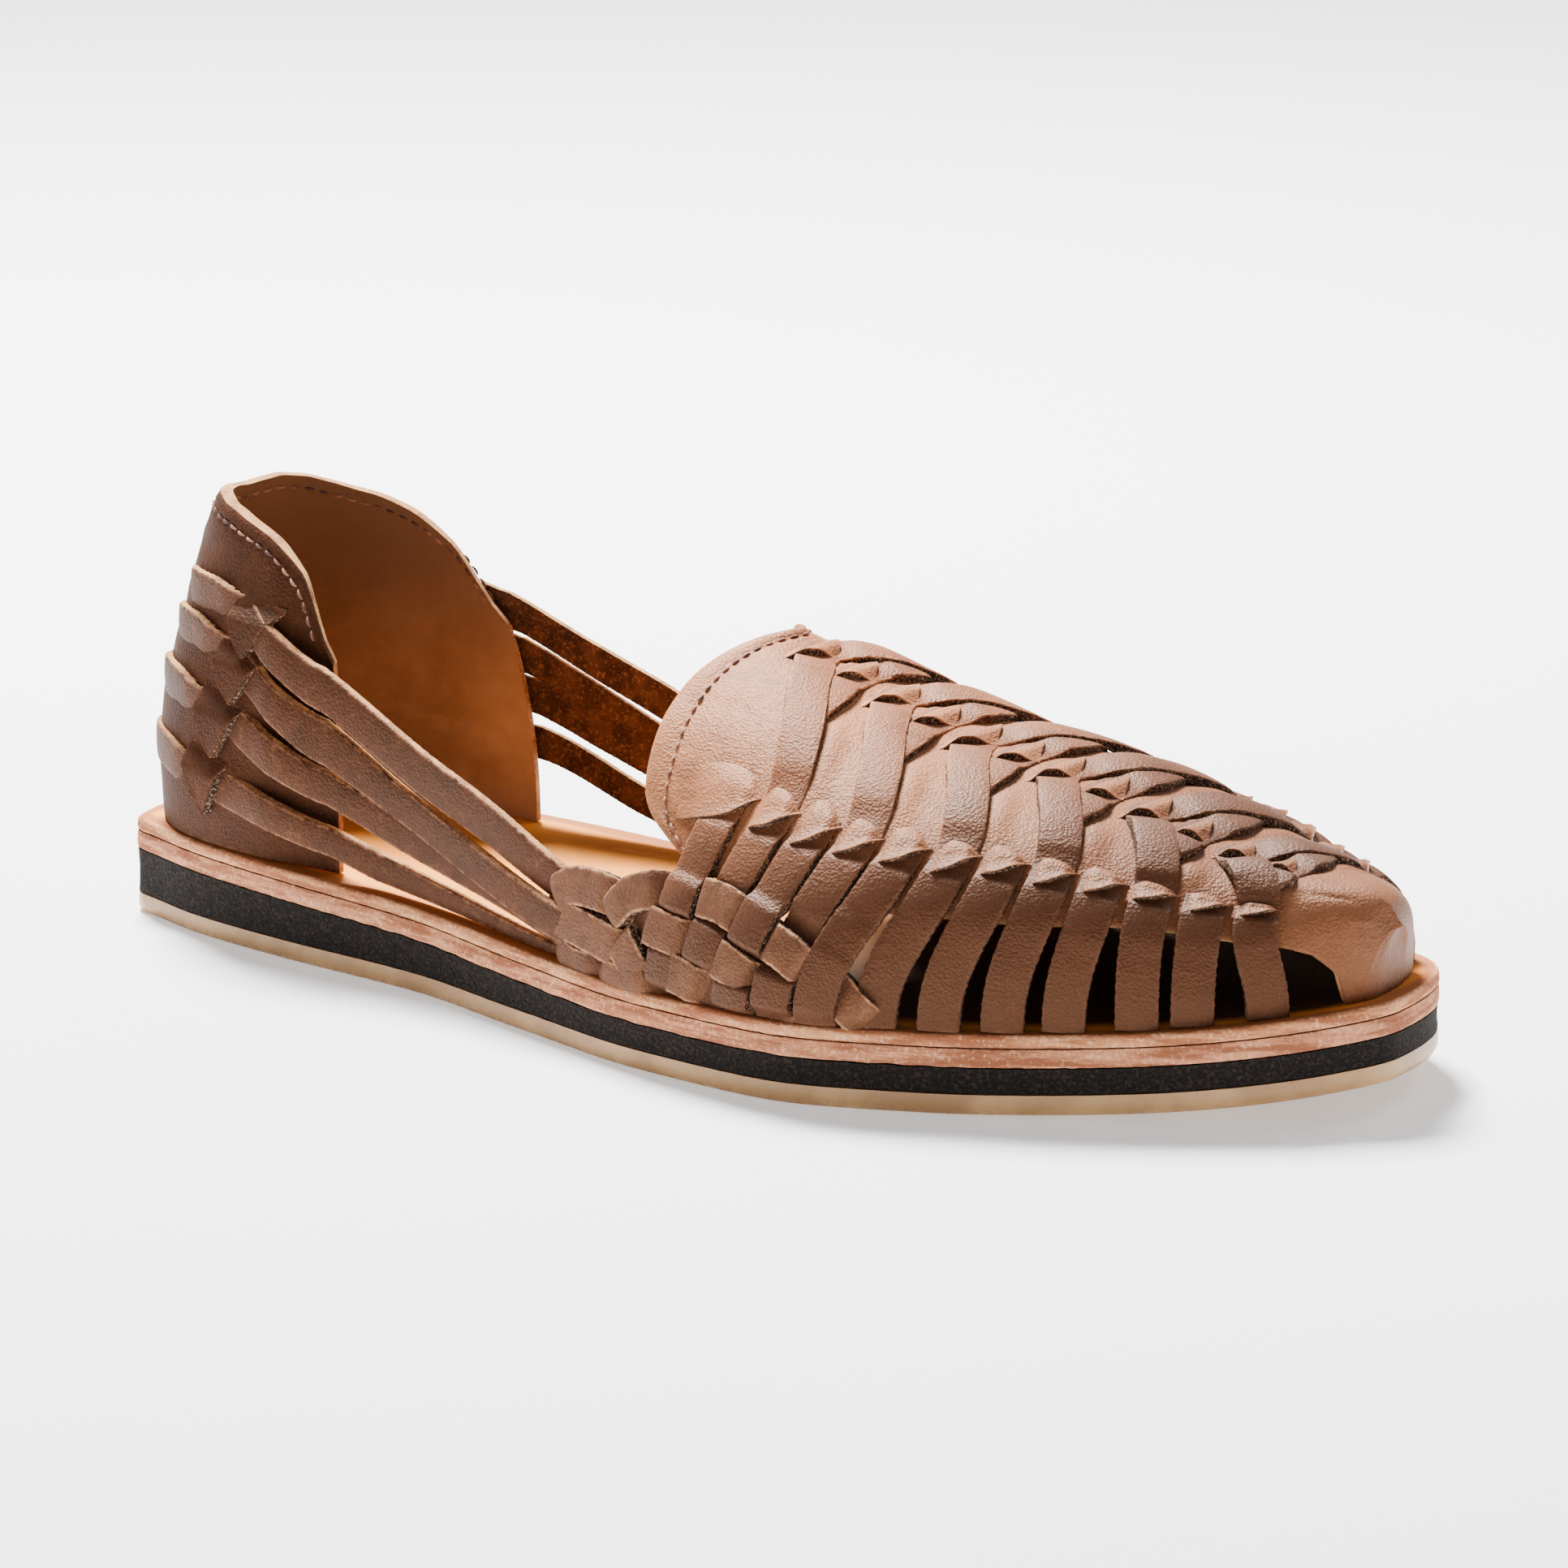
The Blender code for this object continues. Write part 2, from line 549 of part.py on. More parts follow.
def make_side_straps(name, side, collection):
    """The four straps of one side as one wall, joined where they run together at the braid."""
    share = np.linspace(0, 1, STRAP_STATIONS)
    heights = np.array([smooth(np.array([0.0, 0.5, 1.0]), np.array(row, float), share) for row in SIDE_STRAP_ROWS])
    heights = heights[::-1].T * COUNTER_HEIGHT
    half = WRAPPED_STRAP_SHARE * COUNTER_HEIGHT / 2
    low = np.maximum(heights - half, 0.0)
    high = heights + half
    shared = (high[:, :-1] + low[:, 1:]) / 2
    crossed = high[:, :-1] > low[:, 1:] - JOIN_WIDTH
    high[:, :-1] = np.where(crossed, shared - JOIN_WIDTH / 2, high[:, :-1])
    low[:, 1:] = np.where(crossed, shared + JOIN_WIDTH / 2, low[:, 1:])
    edges = np.stack([low, high], -1).reshape(STRAP_STATIONS, -1)
    grid = np.stack([side_surface(side, share, tall, FIT_GAP) for tall in edges.T], 1)
    keep = np.ones((STRAP_STATIONS - 1, edges.shape[1] - 1), bool)
    keep[:-1, 1::2] = crossed[:-2] & crossed[1:-1]
    return wall_from_grid(name, grid, keep, STRAP_THICKNESS, collection, flip=side == INNER, offset=1)


def build():
    """Makes every piece in its own collection."""
    for item in list(bpy.data.objects):
        bpy.data.objects.remove(item)
    collection = bpy.data.collections.new("huarache_sandal")
    bpy.context.scene.collection.children.link(collection)
    plain = ((0.0, 0.0), (0.0, 1.0))
    gum = ((GUM_EDGE_ROUND, 0.0), (0.0, GUM_EDGE_ROUND / GUM_THICKNESS), (0.0, 1.0))
    rim = ((0.0, 0.0), (0.0, 1 - INSOLE_EDGE_ROUND / INSOLE_THICKNESS), (INSOLE_EDGE_ROUND, 1.0))
    make_slab("outsole", 0, 1, gum, collection)
    make_slab("foam_midsole", 1, 2, plain, collection)
    make_slab("leather_midsole", 2, 3, plain, collection)
    make_slab("insole", 3, 4, rim, collection)
    make_vamp(collection)
    make_counter(collection)
    make_side_straps("lateral_side_straps", OUTER, collection)
    make_side_straps("medial_side_straps", INNER, collection)


build()
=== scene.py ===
"""Looks of a woven leather huarache sandal, right foot, standing on its sole.

Metres, +Z up, toe towards +X, inner side of the foot towards +Y. Every piece is a surface over the same
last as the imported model: the vamp is addressed by cross strap number (0 at the throat, 16 at the toe)
and girth (-1 at the sole's outer edge, 0 at the spine, 1 at the inner edge).
"""

import logging
from dataclasses import dataclass, field
from enum import Enum, IntEnum
from typing import Any, Sequence

import bpy
import numpy as np
from mathutils import Matrix, Vector


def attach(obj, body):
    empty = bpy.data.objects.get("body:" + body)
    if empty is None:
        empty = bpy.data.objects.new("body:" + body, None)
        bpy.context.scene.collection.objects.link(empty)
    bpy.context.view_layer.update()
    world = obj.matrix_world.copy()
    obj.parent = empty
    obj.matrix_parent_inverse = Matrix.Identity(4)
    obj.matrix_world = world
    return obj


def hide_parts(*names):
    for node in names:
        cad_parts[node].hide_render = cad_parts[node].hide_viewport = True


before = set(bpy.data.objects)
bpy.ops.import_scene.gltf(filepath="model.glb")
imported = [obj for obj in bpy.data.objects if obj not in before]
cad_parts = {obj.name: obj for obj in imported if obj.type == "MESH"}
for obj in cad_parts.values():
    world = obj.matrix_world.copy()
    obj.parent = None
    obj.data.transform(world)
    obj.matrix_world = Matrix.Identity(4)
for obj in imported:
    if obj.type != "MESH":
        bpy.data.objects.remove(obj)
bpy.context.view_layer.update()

Array = np.ndarray
log = logging.getLogger("huarache")
MM = 0.001
# Places across a strip from edge to edge, and how far in mm its face eases down there
ACROSS = np.array([-1, -0.97, -0.88, -0.6, -0.3, 0, 0.3, 0.6, 0.88, 0.97, 1.0])
EASED = np.array([0.30, 0.08, 0, 0, 0, 0, 0, 0, 0, 0.08, 0.30])
# Warm tint of waxed leather's sheen, and a neutral one
WARM = (1.0, 0.62, 0.38, 1.0)
NEUTRAL = (1.0, 1.0, 1.0, 1.0)


class Side(Enum):
    """The two sides of the shoe, by the sign of their Y."""

    OUTER = -1
    INNER = 1


class Layer(IntEnum):
    """Material slots of a piece cut from leather."""

    GRAIN = 0
    CUT = 1
    FLESH = 2


def smooth(keys: Sequence[float], values: Sequence[float], at: Array) -> Array:
    """Cubic curve through a table's rows that never overshoots them.

    Args:
        keys: Rising places of the rows.
        values: Values of the rows.
        at: Places to read, clamped to the table.

    Returns:
        The curve's values, with harmonic-mean tangents inside and end slopes at the ends.
    """
    keys = np.asarray(keys, float)
    values = np.asarray(values, float)
    at = np.clip(np.asarray(at, float), keys[0], keys[-1])
    steps = np.diff(keys)
    slopes = np.diff(values) / steps
    tangents = np.zeros(len(keys))
    tangents[0], tangents[-1] = slopes[0], slopes[-1]
    same_way = slopes[:-1] * slopes[1:] > 0
    sums = np.where(same_way, slopes[:-1] + slopes[1:], 1.0)
    tangents[1:-1] = np.where(same_way, 2 * slopes[:-1] * slopes[1:] / sums, 0.0)
    place = np.clip(np.searchsorted(keys, at, side="right") - 1, 0, len(keys) - 2)
    share = (at - keys[place]) / steps[place]
    rise = values[place + 1] - values[place]
    start, end = tangents[place] * steps[place], tangents[place + 1] * steps[place]
    bend, twist = 3 * rise - 2 * start - end, start + end - 2 * rise
    return values[place] + share * (start + share * (bend + share * twist))


def ease(value: Array, low: float, high: float) -> Array:
    """Smooth step: 0 below low, 1 above high, 3x^2 - 2x^3 between."""
    share = np.clip((np.asarray(value, float) - low) / (high - low), 0, 1)
    return share * share * (3 - 2 * share)


def crisp(lift: Array) -> Array:
    """Heights in mm of a woven strip with flat tops and steep sides: 0.6 + 2.9 * ease(lift, 1.2, 2.6)."""
    return 0.6 + 2.9 * ease(lift, 1.2, 2.6)


def bell(value: Array, middle: Array | float, width: float) -> Array:
    """Soft ridge: exp(-((value - middle) / width)^2)."""
    return np.exp(-(((value - middle) / width) ** 2))


def unit(vectors: Array) -> Array:
    """Vectors divided by their lengths."""
    return vectors / (np.linalg.norm(vectors, axis=-1, keepdims=True) + 1e-12)


def run_along(points: Array) -> Array:
    """How far each point of a path is from its start, along the path."""
    return np.concatenate([[0], np.cumsum(np.linalg.norm(np.diff(points, axis=0), axis=-1))])


def ripple(place: Array, seed: float) -> Array:
    """Uneven wave between about -1 and 1: four sines of unlike pitch, place in radians."""
    table = ((0.4, 1.0, 1.7), (0.3, 2.3, 4.1), (0.2, 3.7, 2.9), (0.15, 6.1, 5.3))
    return sum(share * np.sin(place * pitch + seed * shift) for share, pitch, shift in table)


@dataclass(frozen=True)
class Last:
    """The shoe's last and the layers under it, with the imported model's own sizes."""

    length: float = 0.300
    ball: float = 0.107
    instep: float = 0.0615
    counter: float = 0.0705
    # Rise of the sole's tip, and where along the sole it starts
    toe_spring: float = 0.0066
    spring_start: float = 0.70
    gum: float = 0.0044
    foam_ball: float = 0.0053
    foam_rise: float = 0.0043
    wedge_end: float = 0.55
    leather: float = 0.0039
    insole: float = 0.0027
    gap: float = 0.0003
    welt: float = 0.0045
    wall: float = 0.0022
    # Sideways reach of the spine, the throat's curve, and the counter's reaches and leans
    crest_shift: float = 0.0075
    bulge: float = 0.0120
    outer_reach: float = 0.0610
    inner_reach: float = 0.0690
    back_lean: float = 0.0125
    top_half: float = 0.0205
    front_lean: float = 0.0125
    squareness: float = 2.7
    # Share of a side strap's way at which it leaves the counter's front edge
    edge_share: float = 0.20

    # The sole by share of its length: half widths over the ball, and the ledge's share of the welt
    along = np.array([0, 0.012, 0.04, 0.09, 0.18, 0.30, 0.42, 0.54, 0.64, 0.74, 0.83, 0.91, 0.96, 0.988, 1.0])
    outer = np.array([0, 0.190, 0.226, 0.276, 0.326, 0.373, 0.474, 0.567, 0.594, 0.515, 0.413, 0.302, 0.192,
                      0.092, 0])
    inner = np.array([0, 0.145, 0.222, 0.281, 0.322, 0.343, 0.329, 0.356, 0.419, 0.485, 0.481, 0.408, 0.316,
                      0.196, 0])
    rim = np.array([0.9, 0.9, 0.9, 1, 1, 1, 1, 0.7, 0.4, 0.4, 0.5, 0.8, 1, 1, 1])
    # The forefoot by strap number: foot, middle and spine along the sole, height over the instep,
    # squareness of the section, sideways share of the spine, and how far up the tiles' row is
    strap = np.array([-2.5, -1.5, 0, 1, 3, 5, 7, 9, 11, 12, 13, 14, 15, 16])
    base = np.array([0.424, 0.460, 0.514, 0.553, 0.622, 0.686, 0.761, 0.835, 0.908, 0.940, 0.961, 0.976,
                     0.987, 0.996])
    side = np.array([0.427, 0.470, 0.534, 0.579, 0.648, 0.714, 0.775, 0.834, 0.895, 0.927, 0.954, 0.973,
                     0.988, 0.997])
    crest = np.array([0.430, 0.469, 0.528, 0.552, 0.615, 0.681, 0.748, 0.816, 0.883, 0.917, 0.944, 0.967,
                      0.983, 0.993])
    height = np.array([1.080, 1.050, 1.004, 0.944, 0.833, 0.739, 0.673, 0.575, 0.455, 0.410, 0.385, 0.357,
                       0.315, 0.225])
    roundness = np.array([1.94, 1.95, 1.96, 2.02, 2.12, 2.24, 2.30, 2.34, 2.33, 2.32, 2.35, 2.40, 2.40, 2.40])
    shift = np.array([1.30, 1.16, 0.97, 0.65, 0.53, 0.39, 0.20, 0.07, 0.00, 0.04, 0.32, 0.65, 1.00, 1.31])
    tile = np.array([0.400, 0.400, 0.402, 0.413, 0.436, 0.460, 0.483, 0.506, 0.530, 0.541, 0.545, 0.545,
                     0.545, 0.545])
    tile_girth = 0.48

    @property
    def keys(self) -> Array:
        """Places of the sole's rows as angles, so that the ends come out round."""
        return np.arccos(1 - 2 * self.along)

    @property
    def middle(self) -> float:
        """How far the heel-to-toe line lies from the middle of the box."""
        return self.ball * (self.outer.max() - self.inner.max()) / 2

    def outline(self, side: int, along: Array, inset: Array | float = 0.0) -> Array:
        """Plan points of the sole's edge: half width over an angle, moved in along its normal.

        Args:
            side: -1 for the outer side, 1 for the inner.
            along: Share of the length from the heel.
            inset: How far to move inwards.

        Returns:
            Points as x, y.
        """
        widths = self.outer if side < 0 else self.inner
        along = np.asarray(along, float)

        def edge(angle: Array) -> Array:
            """Point of the edge at an angle."""
            half = side * self.ball * smooth(self.keys, widths, angle)
            return np.stack([-0.5 * np.cos(angle) * self.length, half], -1)

        angle = np.arccos(np.clip(1 - 2 * along, -1, 1))
        tangent = unit(edge(np.clip(angle + 0.004, 0, np.pi)) - edge(np.clip(angle - 0.004, 0, np.pi)))
        inward = np.stack([side * tangent[..., 1], -side * tangent[..., 0]], -1)
        tip = np.isclose(np.sin(angle), 0.0, atol=1e-6)[..., None]
        inward = np.where(tip, np.stack([np.sign(np.cos(angle)), np.zeros_like(angle)], -1), inward)
        return edge(angle) + np.asarray(inset)[..., None] * inward + np.array([0.0, self.middle])

    def either(self, place: Array, along: Array, inset: Array) -> Array:
        """Plan points of the sole's edge, on the outer side where place is below 0, else on the inner."""
        outer, inner = self.outline(-1, along, inset), self.outline(1, along, inset)
        return np.where((place < 0)[..., None], outer, inner)

    def ledge(self, along: Array) -> Array:
        """Width of the bare rim outside the upper."""
        angle = np.arccos(np.clip(1 - 2 * np.asarray(along, float), -1, 1))
        return self.welt * smooth(self.keys, self.rim, angle)

    def level(self, layers: int, along: Array) -> Array:
        """Height of the top of a stack of layers over the floor, with the toe spring and the heel's wedge."""
        along = np.asarray(along, float)
        spring = np.clip((along - self.spring_start) / (1 - self.spring_start), 0, 1)
        wedge = np.clip(1 - along / self.wedge_end, 0, 1)
        foam = self.foam_ball + self.foam_rise * wedge**2 * (3 - 2 * wedge)
        parts = (0.0, self.gum, foam, self.leather, self.insole)
        return self.toe_spring * spring**2 + sum(parts[: layers + 1])

    def floor(self, place: Array) -> Array:
        """Height of the insole's top under a plan point."""
        return self.level(4, np.clip(place[..., 0] / self.length + 0.5, 0, 1))

    def vamp(self, strap: Array, girth: Array) -> Array:
        """Point of the forefoot: a quarter superellipse from the sole (|girth| 1) to the spine (0).

        With the angle a from 90 degrees at the sole to 0 at the spine and the power p, the plan is
        top + (foot - top) * sin(a)^p and the height is rise * cos(a)^p.

        Args:
            strap: Cross strap number.
            girth: -1 outer sole edge, 0 spine, 1 inner sole edge.

        Returns:
            Points; the section's ends slide along the shoe as the tables say.
        """
        strap, girth = np.broadcast_arrays(np.asarray(strap, float), np.asarray(girth, float))
        base = smooth(self.strap, self.base, strap)
        crest = smooth(self.strap, self.crest, strap)
        inset = self.ledge(base) + self.wall / 4
        foot = self.either(girth, base, inset)
        top = np.stack([(crest - 0.5) * self.length,
                        self.crest_shift * smooth(self.strap, self.shift, strap)], -1)
        tile = smooth(self.strap, self.tile, strap)
        up_side = 1 - np.abs(girth)
        above = 1 - (1 - up_side) * (1 - tile) / (1 - self.tile_girth)
        angle = (1 - np.where(up_side < self.tile_girth, up_side * tile / self.tile_girth, above)) * np.pi / 2
        power = 2 / smooth(self.strap, self.roundness, strap)
        plan = top + (foot - top) * (np.sin(angle) ** power)[..., None]
        lean = (smooth(self.strap, self.side, strap) - (base + crest) / 2) * self.length
        saddle = np.clip((up_side - 0.30) / 0.70, 0, 1)
        throat = self.bulge * np.sin(np.pi * saddle) ** 1.15 * (1 - ease(strap, 0.05, 1.2))
        plan[..., 0] += lean * np.sin(2 * angle) ** 2 - throat
        rise = self.instep * smooth(self.strap, self.height, strap)
        up = np.clip(np.cos(angle), 0, 1) ** power
        return np.concatenate([plan, (self.floor(foot) + self.gap + rise * up)[..., None]], -1)

    def vamp_normal(self, strap: Array, girth: Array) -> Array:
        """Outward normal of the forefoot, from points a little apart along both ways."""
        strap, girth = np.broadcast_arrays(np.asarray(strap, float), np.asarray(girth, float))
        ahead = self.vamp(strap + 0.06, girth) - self.vamp(strap - 0.06, girth)
        right, left = (self.vamp(strap, np.clip(girth + step, -1, 1)) for step in (0.012, -0.012))
        return unit(np.cross(ahead, right - left))

    def heel(self, around: Array, height: Array, lift: Array | float = 0.0) -> Array:
        """Point of the counter: each level is a quarter superellipse that leans in with height.

        With the angle a = |around| * 90 degrees and the power p, x is front + (back - front) * cos(a)^p
        and y is middle + half * sin(a)^p.

        Args:
            around: -1 outer front edge, 0 back of the heel, 1 inner front edge.
            height: Height over the insole.
            lift: How far outside the counter's face.

        Returns:
            Points on the counter.
        """
        around, height, lift = np.broadcast_arrays(*(np.asarray(v, float) for v in (around, height, lift)))
        sign = np.where(around < 0, -1.0, 1.0)
        share = np.clip(height / self.counter, 0, 1.1)
        rear = self.outline(1, 0.0, self.ledge(0.0))[0]
        reach = np.where(around < 0, self.outer_reach, self.inner_reach)
        front_along = 0.5 + (rear + reach) / self.length
        inset = self.ledge(front_along)
        base_half = np.abs(self.either(around, front_along, inset)[..., 1] - self.middle)
        half = base_half + (self.top_half - base_half) * share**2 + lift
        back = rear + self.back_lean * share**2 - 0.002 * np.sin(np.pi * np.clip(share * 1.6, 0, 1)) - lift
        front = rear + reach - self.front_lean * share**2.2
        angle = np.abs(around) * np.pi / 2
        power = 2 / self.squareness
        x = front + (back - front) * np.cos(angle) ** power
        y = self.middle + sign * half * np.sin(angle) ** power
        foot = np.stack([rear + reach * (1 - np.cos(angle) ** power), y], -1)
        return np.stack([x, y, self.floor(foot) + self.gap + height], -1)

    def flank(self, side: int, share: Array, height: Array, lift: Array | float = 0.0) -> Array:
        """Point of the open side: along the counter to its front edge, then a Hermite sweep to the braid.

        Args:
            side: -1 for the outer side, 1 for the inner.
            share: 0 at the tab column, 1 at the braid's rear edge.
            height: Height over the insole.
            lift: How far outside the surface.

        Returns:
            Points of the side.
        """
        share, height, lift = np.broadcast_arrays(*(np.asarray(v, float) for v in (share, height, lift)))
        ones = np.ones_like(share)
        on = np.clip(share / self.edge_share, -0.95, 1)
        near = self.heel(side * (0.85 + 0.15 * on), height, lift)
        edge = self.heel(side * ones, height, lift)
        way = unit(edge - self.heel(side * 0.96 * ones, height, lift))
        end = (-1.5 * ones, side * 0.89 * ones)
        braid = self.vamp(*end) + self.vamp_normal(*end) * lift[..., None]
        braid[..., 0] -= 2 * self.gap
        braid[..., 2] = self.floor(braid) + self.gap + height
        free = np.clip((share - self.edge_share) / (1 - self.edge_share), 0, 1)[..., None]
        reach = np.linalg.norm(braid - edge, axis=-1, keepdims=True)
        ends = self.outline(side, np.array([0.41, 0.46]))
        last = np.append(unit(ends[1] - ends[0]), 0.0)
        swept = edge * (1 + 2 * free) * (1 - free) ** 2 + way * reach * free * (1 - free) ** 2
        swept = swept + braid * free**2 * (3 - 2 * free) - last * reach * free**2 * (1 - free)
        swept = swept + last * reach * np.clip(share - 1, 0, 1)[..., None] / (1 - self.edge_share)
        return np.where(share[..., None] <= self.edge_share, near, swept)


class Socket:
    """A node's output with arithmetic: an expression adds its Math nodes."""

    def __init__(self, graph: "Graph", link: Any) -> None:
        """Wraps a socket of a graph."""
        self.graph = graph
        self.link = link

    def _math(self, kind: str, *values: Any) -> "Socket":
        """One Math node over the values."""
        return self.graph.node("ShaderNodeMath", {"operation": kind}, dict(enumerate(values)))

    def __add__(self, other: Any) -> "Socket":
        """Sum."""
        return self._math("ADD", self, other)

    def __sub__(self, other: Any) -> "Socket":
        """Difference."""
        return self._math("SUBTRACT", self, other)

    def __mul__(self, other: Any) -> "Socket":
        """Product."""
        return self._math("MULTIPLY", self, other)

    def __rsub__(self, other: Any) -> "Socket":
        """Reflected difference."""
        return self._math("SUBTRACT", other, self)

    __radd__ = __add__
    __rmul__ = __mul__

    def step(self, low: float, high: float) -> "Socket":
        """Smooth step from 0 at low to 1 at high."""
        settings = {"interpolation_type": "SMOOTHSTEP", "clamp": True}
        return self.graph.node("ShaderNodeMapRange", settings,
                               {"Value": self, "From Min": low, "From Max": high})


class Graph:
    """Builds one material's nodes."""

    def __init__(self, name: str) -> None:
        """Starts a material with an empty Principled shader."""
        self.material = bpy.data.materials.new(name)
        self.material.use_nodes = True
        self.tree = self.material.node_tree
        self.shader = self.tree.nodes["Principled BSDF"]

    def node(self, kind: str, settings: dict | None = None, inputs: dict | None = None,
             output: Any = 0) -> Socket:
        """Adds a node.

        Args:
            kind: Node type.
            settings: Its properties, set first.
            inputs: Values or sockets by input name or place.
            output: Which output to return.

        Returns:
            The chosen output.
        """
        made = self.tree.nodes.new(kind)
        for name, value in (settings or {}).items():
            setattr(made, name, value)
        for name, value in (inputs or {}).items():
            self.feed(made.inputs[name], value)
        return Socket(self, made.outputs[output])

    def feed(self, socket: Any, value: Any) -> None:
        """Links a socket, or sets its own value."""
        if isinstance(value, Socket):
            self.tree.links.new(value.link, socket)
        else:
            socket.default_value = value

    def place(self) -> Socket:
        """Object coordinates, in metres."""
        return self.node("ShaderNodeTexCoord", output="Object")

    def axis(self, name: str) -> Socket:
        """One of the object coordinates, X, Y or Z."""
        return self.node("ShaderNodeSeparateXYZ", inputs={"Vector": self.place()}, output=name)

    def stretched(self, scale: tuple[float, float, float]) -> Socket:
        """Object coordinates stretched by a Mapping node."""
        return self.node("ShaderNodeMapping", inputs={"Vector": self.place(), "Scale": scale})

    def noise(self, pitch_mm: float, detail: float = 2.0, rough: float = 0.55, place: Any = None) -> Socket:
        """Noise whose blotches are about pitch_mm across."""
        inputs = {"Vector": place or self.place(), "Scale": 1000 / pitch_mm, "Detail": detail,
                  "Roughness": rough}
        return self.node("ShaderNodeTexNoise", inputs=inputs)

    def cells(self, pitch_mm: float) -> Socket:
        """Distance to the nearest of scattered points about pitch_mm apart."""
        return self.node("ShaderNodeTexVoronoi", inputs={"Vector": self.place(), "Scale": 1000 / pitch_mm})

    def attribute(self, name: str) -> Socket:
        """A number kept on the mesh."""
        return self.node("ShaderNodeAttribute", {"attribute_name": name}, output="Fac")

    def mix(self, share: Any, first: Any, second: Any) -> Socket:
        """Colour between two colours, each a socket, a screen colour or linear light with its alpha."""
        first, second = (paint(*c) if isinstance(c, tuple) and len(c) == 3 else c for c in (first, second))
        return self.node("ShaderNodeMix", {"data_type": "RGBA"}, {0: share, 6: first, 7: second}, 2)

    def bump(self, height: Socket, depth: float, strength: float = 1.0,
             under: Socket | None = None) -> Socket:
        """Bump of a height field whose full range is depth metres."""
        inputs = {"Height": height, "Distance": depth, "Strength": strength}
        if under is not None:
            inputs["Normal"] = under
        return self.node("ShaderNodeBump", inputs=inputs)

    def finish(self, colour: Any, roughness: Any, normal: Socket | None, specular: float = 0.5,
               tint: tuple = NEUTRAL, **constants: Any) -> Any:
        """Feeds the shader and returns the material.

        Args:
            colour: Base colour.
            roughness: Roughness.
            normal: Bumped normal, if any.
            specular: Specular level.
            tint: Specular tint.
            constants: Values of further sockets, with _ for a space in their names.

        Returns:
            The material.
        """
        values = {"Base Color": colour, "Roughness": roughness, "Specular IOR Level": specular,
                  "Specular Tint": tint}
        values |= {name.replace("_", " "): value for name, value in constants.items()}
        if normal is not None:
            values["Normal"] = normal
        for name, value in values.items():
            self.feed(self.shader.inputs[name], value)
        return self.material


def paint(red: int, green: int, blue: int) -> tuple[float, float, float, float]:
    """Screen colour 0 to 255 as linear light."""
    parts = [v / 255 for v in (red, green, blue)]
    return (*[v / 12.92 if v <= 0.04045 else ((v + 0.055) / 1.055) ** 2.4 for v in parts], 1.0)


@dataclass(frozen=True)
class Leather:
    """Waxed leather, seen on its grain side: mottled by wear, with fine pores.

    Attributes:
        name: Name of the material.
        dark, base, light: Screen colours of dents, face and worn spots.
        mottle_mm: Size of the blotches.
        roughness: Mean roughness.
        grain: Depth of the pores.
        edge_light: Strength of the pale line along cut edges.
        sheen: Specular level.
        fall: How much painted shade turns the leather to low near the floor and the toe.
        low: Screen colour of that painted shade.
    """

    name: str
    dark: tuple
    base: tuple
    light: tuple
    mottle_mm: float = 11.0
    roughness: float = 0.50
    grain: float = 0.00026
    edge_light: float = 0.35
    sheen: float = 0.42
    fall: float = 0.0
    low: tuple = (0, 0, 0)

    def make(self) -> Any:
        """Mottled colour from three noises, a pale worn line along cut edges, painted shade low down, pores
        and creases as bump.
        """
        g = Graph(self.name)
        cloud = g.noise(self.mottle_mm, 4.0, 0.6)
        fleck = g.noise(2.6, 3.0, 0.65)
        fine = g.noise(0.55, 2.0, 0.7)
        tone = g.mix((cloud * 0.65 + fleck * 0.35).step(0.28, 0.58), self.dark, self.base)
        tone = g.mix((cloud * 0.40 + fleck * 0.60).step(0.54, 0.76) * 0.35, tone, self.light)
        tone = g.mix(fine.step(0.44, 0.64) * 0.32, tone, self.dark)
        edge = 1 - g.attribute("edge").step(0.15, 1.0)
        tone = g.mix(edge * (fleck.step(0.35, 0.6)) * self.edge_light, tone, self.light)
        if self.fall:
            # Painted shade: darker lower down and towards the toe, where the key lamp reaches less
            rise = g.axis("Z") - g.axis("X") * 0.26
            painted_shade = 1 - (rise + (cloud - 0.5) * 0.01).step(0.020, 0.066)
            tone = g.mix(painted_shade * self.fall, tone, self.low)
        pores = g.cells(0.62)
        normal = g.bump(g.noise(6.0, 2.0, 0.5), 0.0005, 0.08)
        normal = g.bump(pores * 0.6 + fine * 0.4, self.grain, 1.0, normal)
        rough = self.roughness + (cloud - 0.5) * 0.18 + (fine - 0.5) * 0.12
        return g.finish(tone, rough, normal, self.sheen, WARM)


@dataclass(frozen=True)
class Fibre:
    """Raw leather, where it was cut or on its flesh side: short fibres, light specks on dark."""

    name: str
    dark: tuple
    base: tuple
    light: tuple
    specks: float = 0.5
    pitch_mm: float = 0.8

    def make(self) -> Any:
        """Specks of light fibre over a base that a coarse noise darkens, with a fuzzy bump."""
        g = Graph(self.name)
        cloud = g.noise(6.0, 3.0, 0.6)
        fuzz = g.noise(self.pitch_mm, 3.0, 0.75)
        tuft = g.noise(self.pitch_mm * 0.45, 2.0, 0.7)
        tone = g.mix(cloud.step(0.35, 0.65), self.dark, self.base)
        tone = g.mix((fuzz * 0.6 + tuft * 0.4).step(0.50, 0.66) * self.specks, tone, self.light)
        normal = g.bump(fuzz * 0.6 + tuft * 0.4, 0.0005, 0.9)
        return g.finish(tone, 0.92, normal, 0.2)


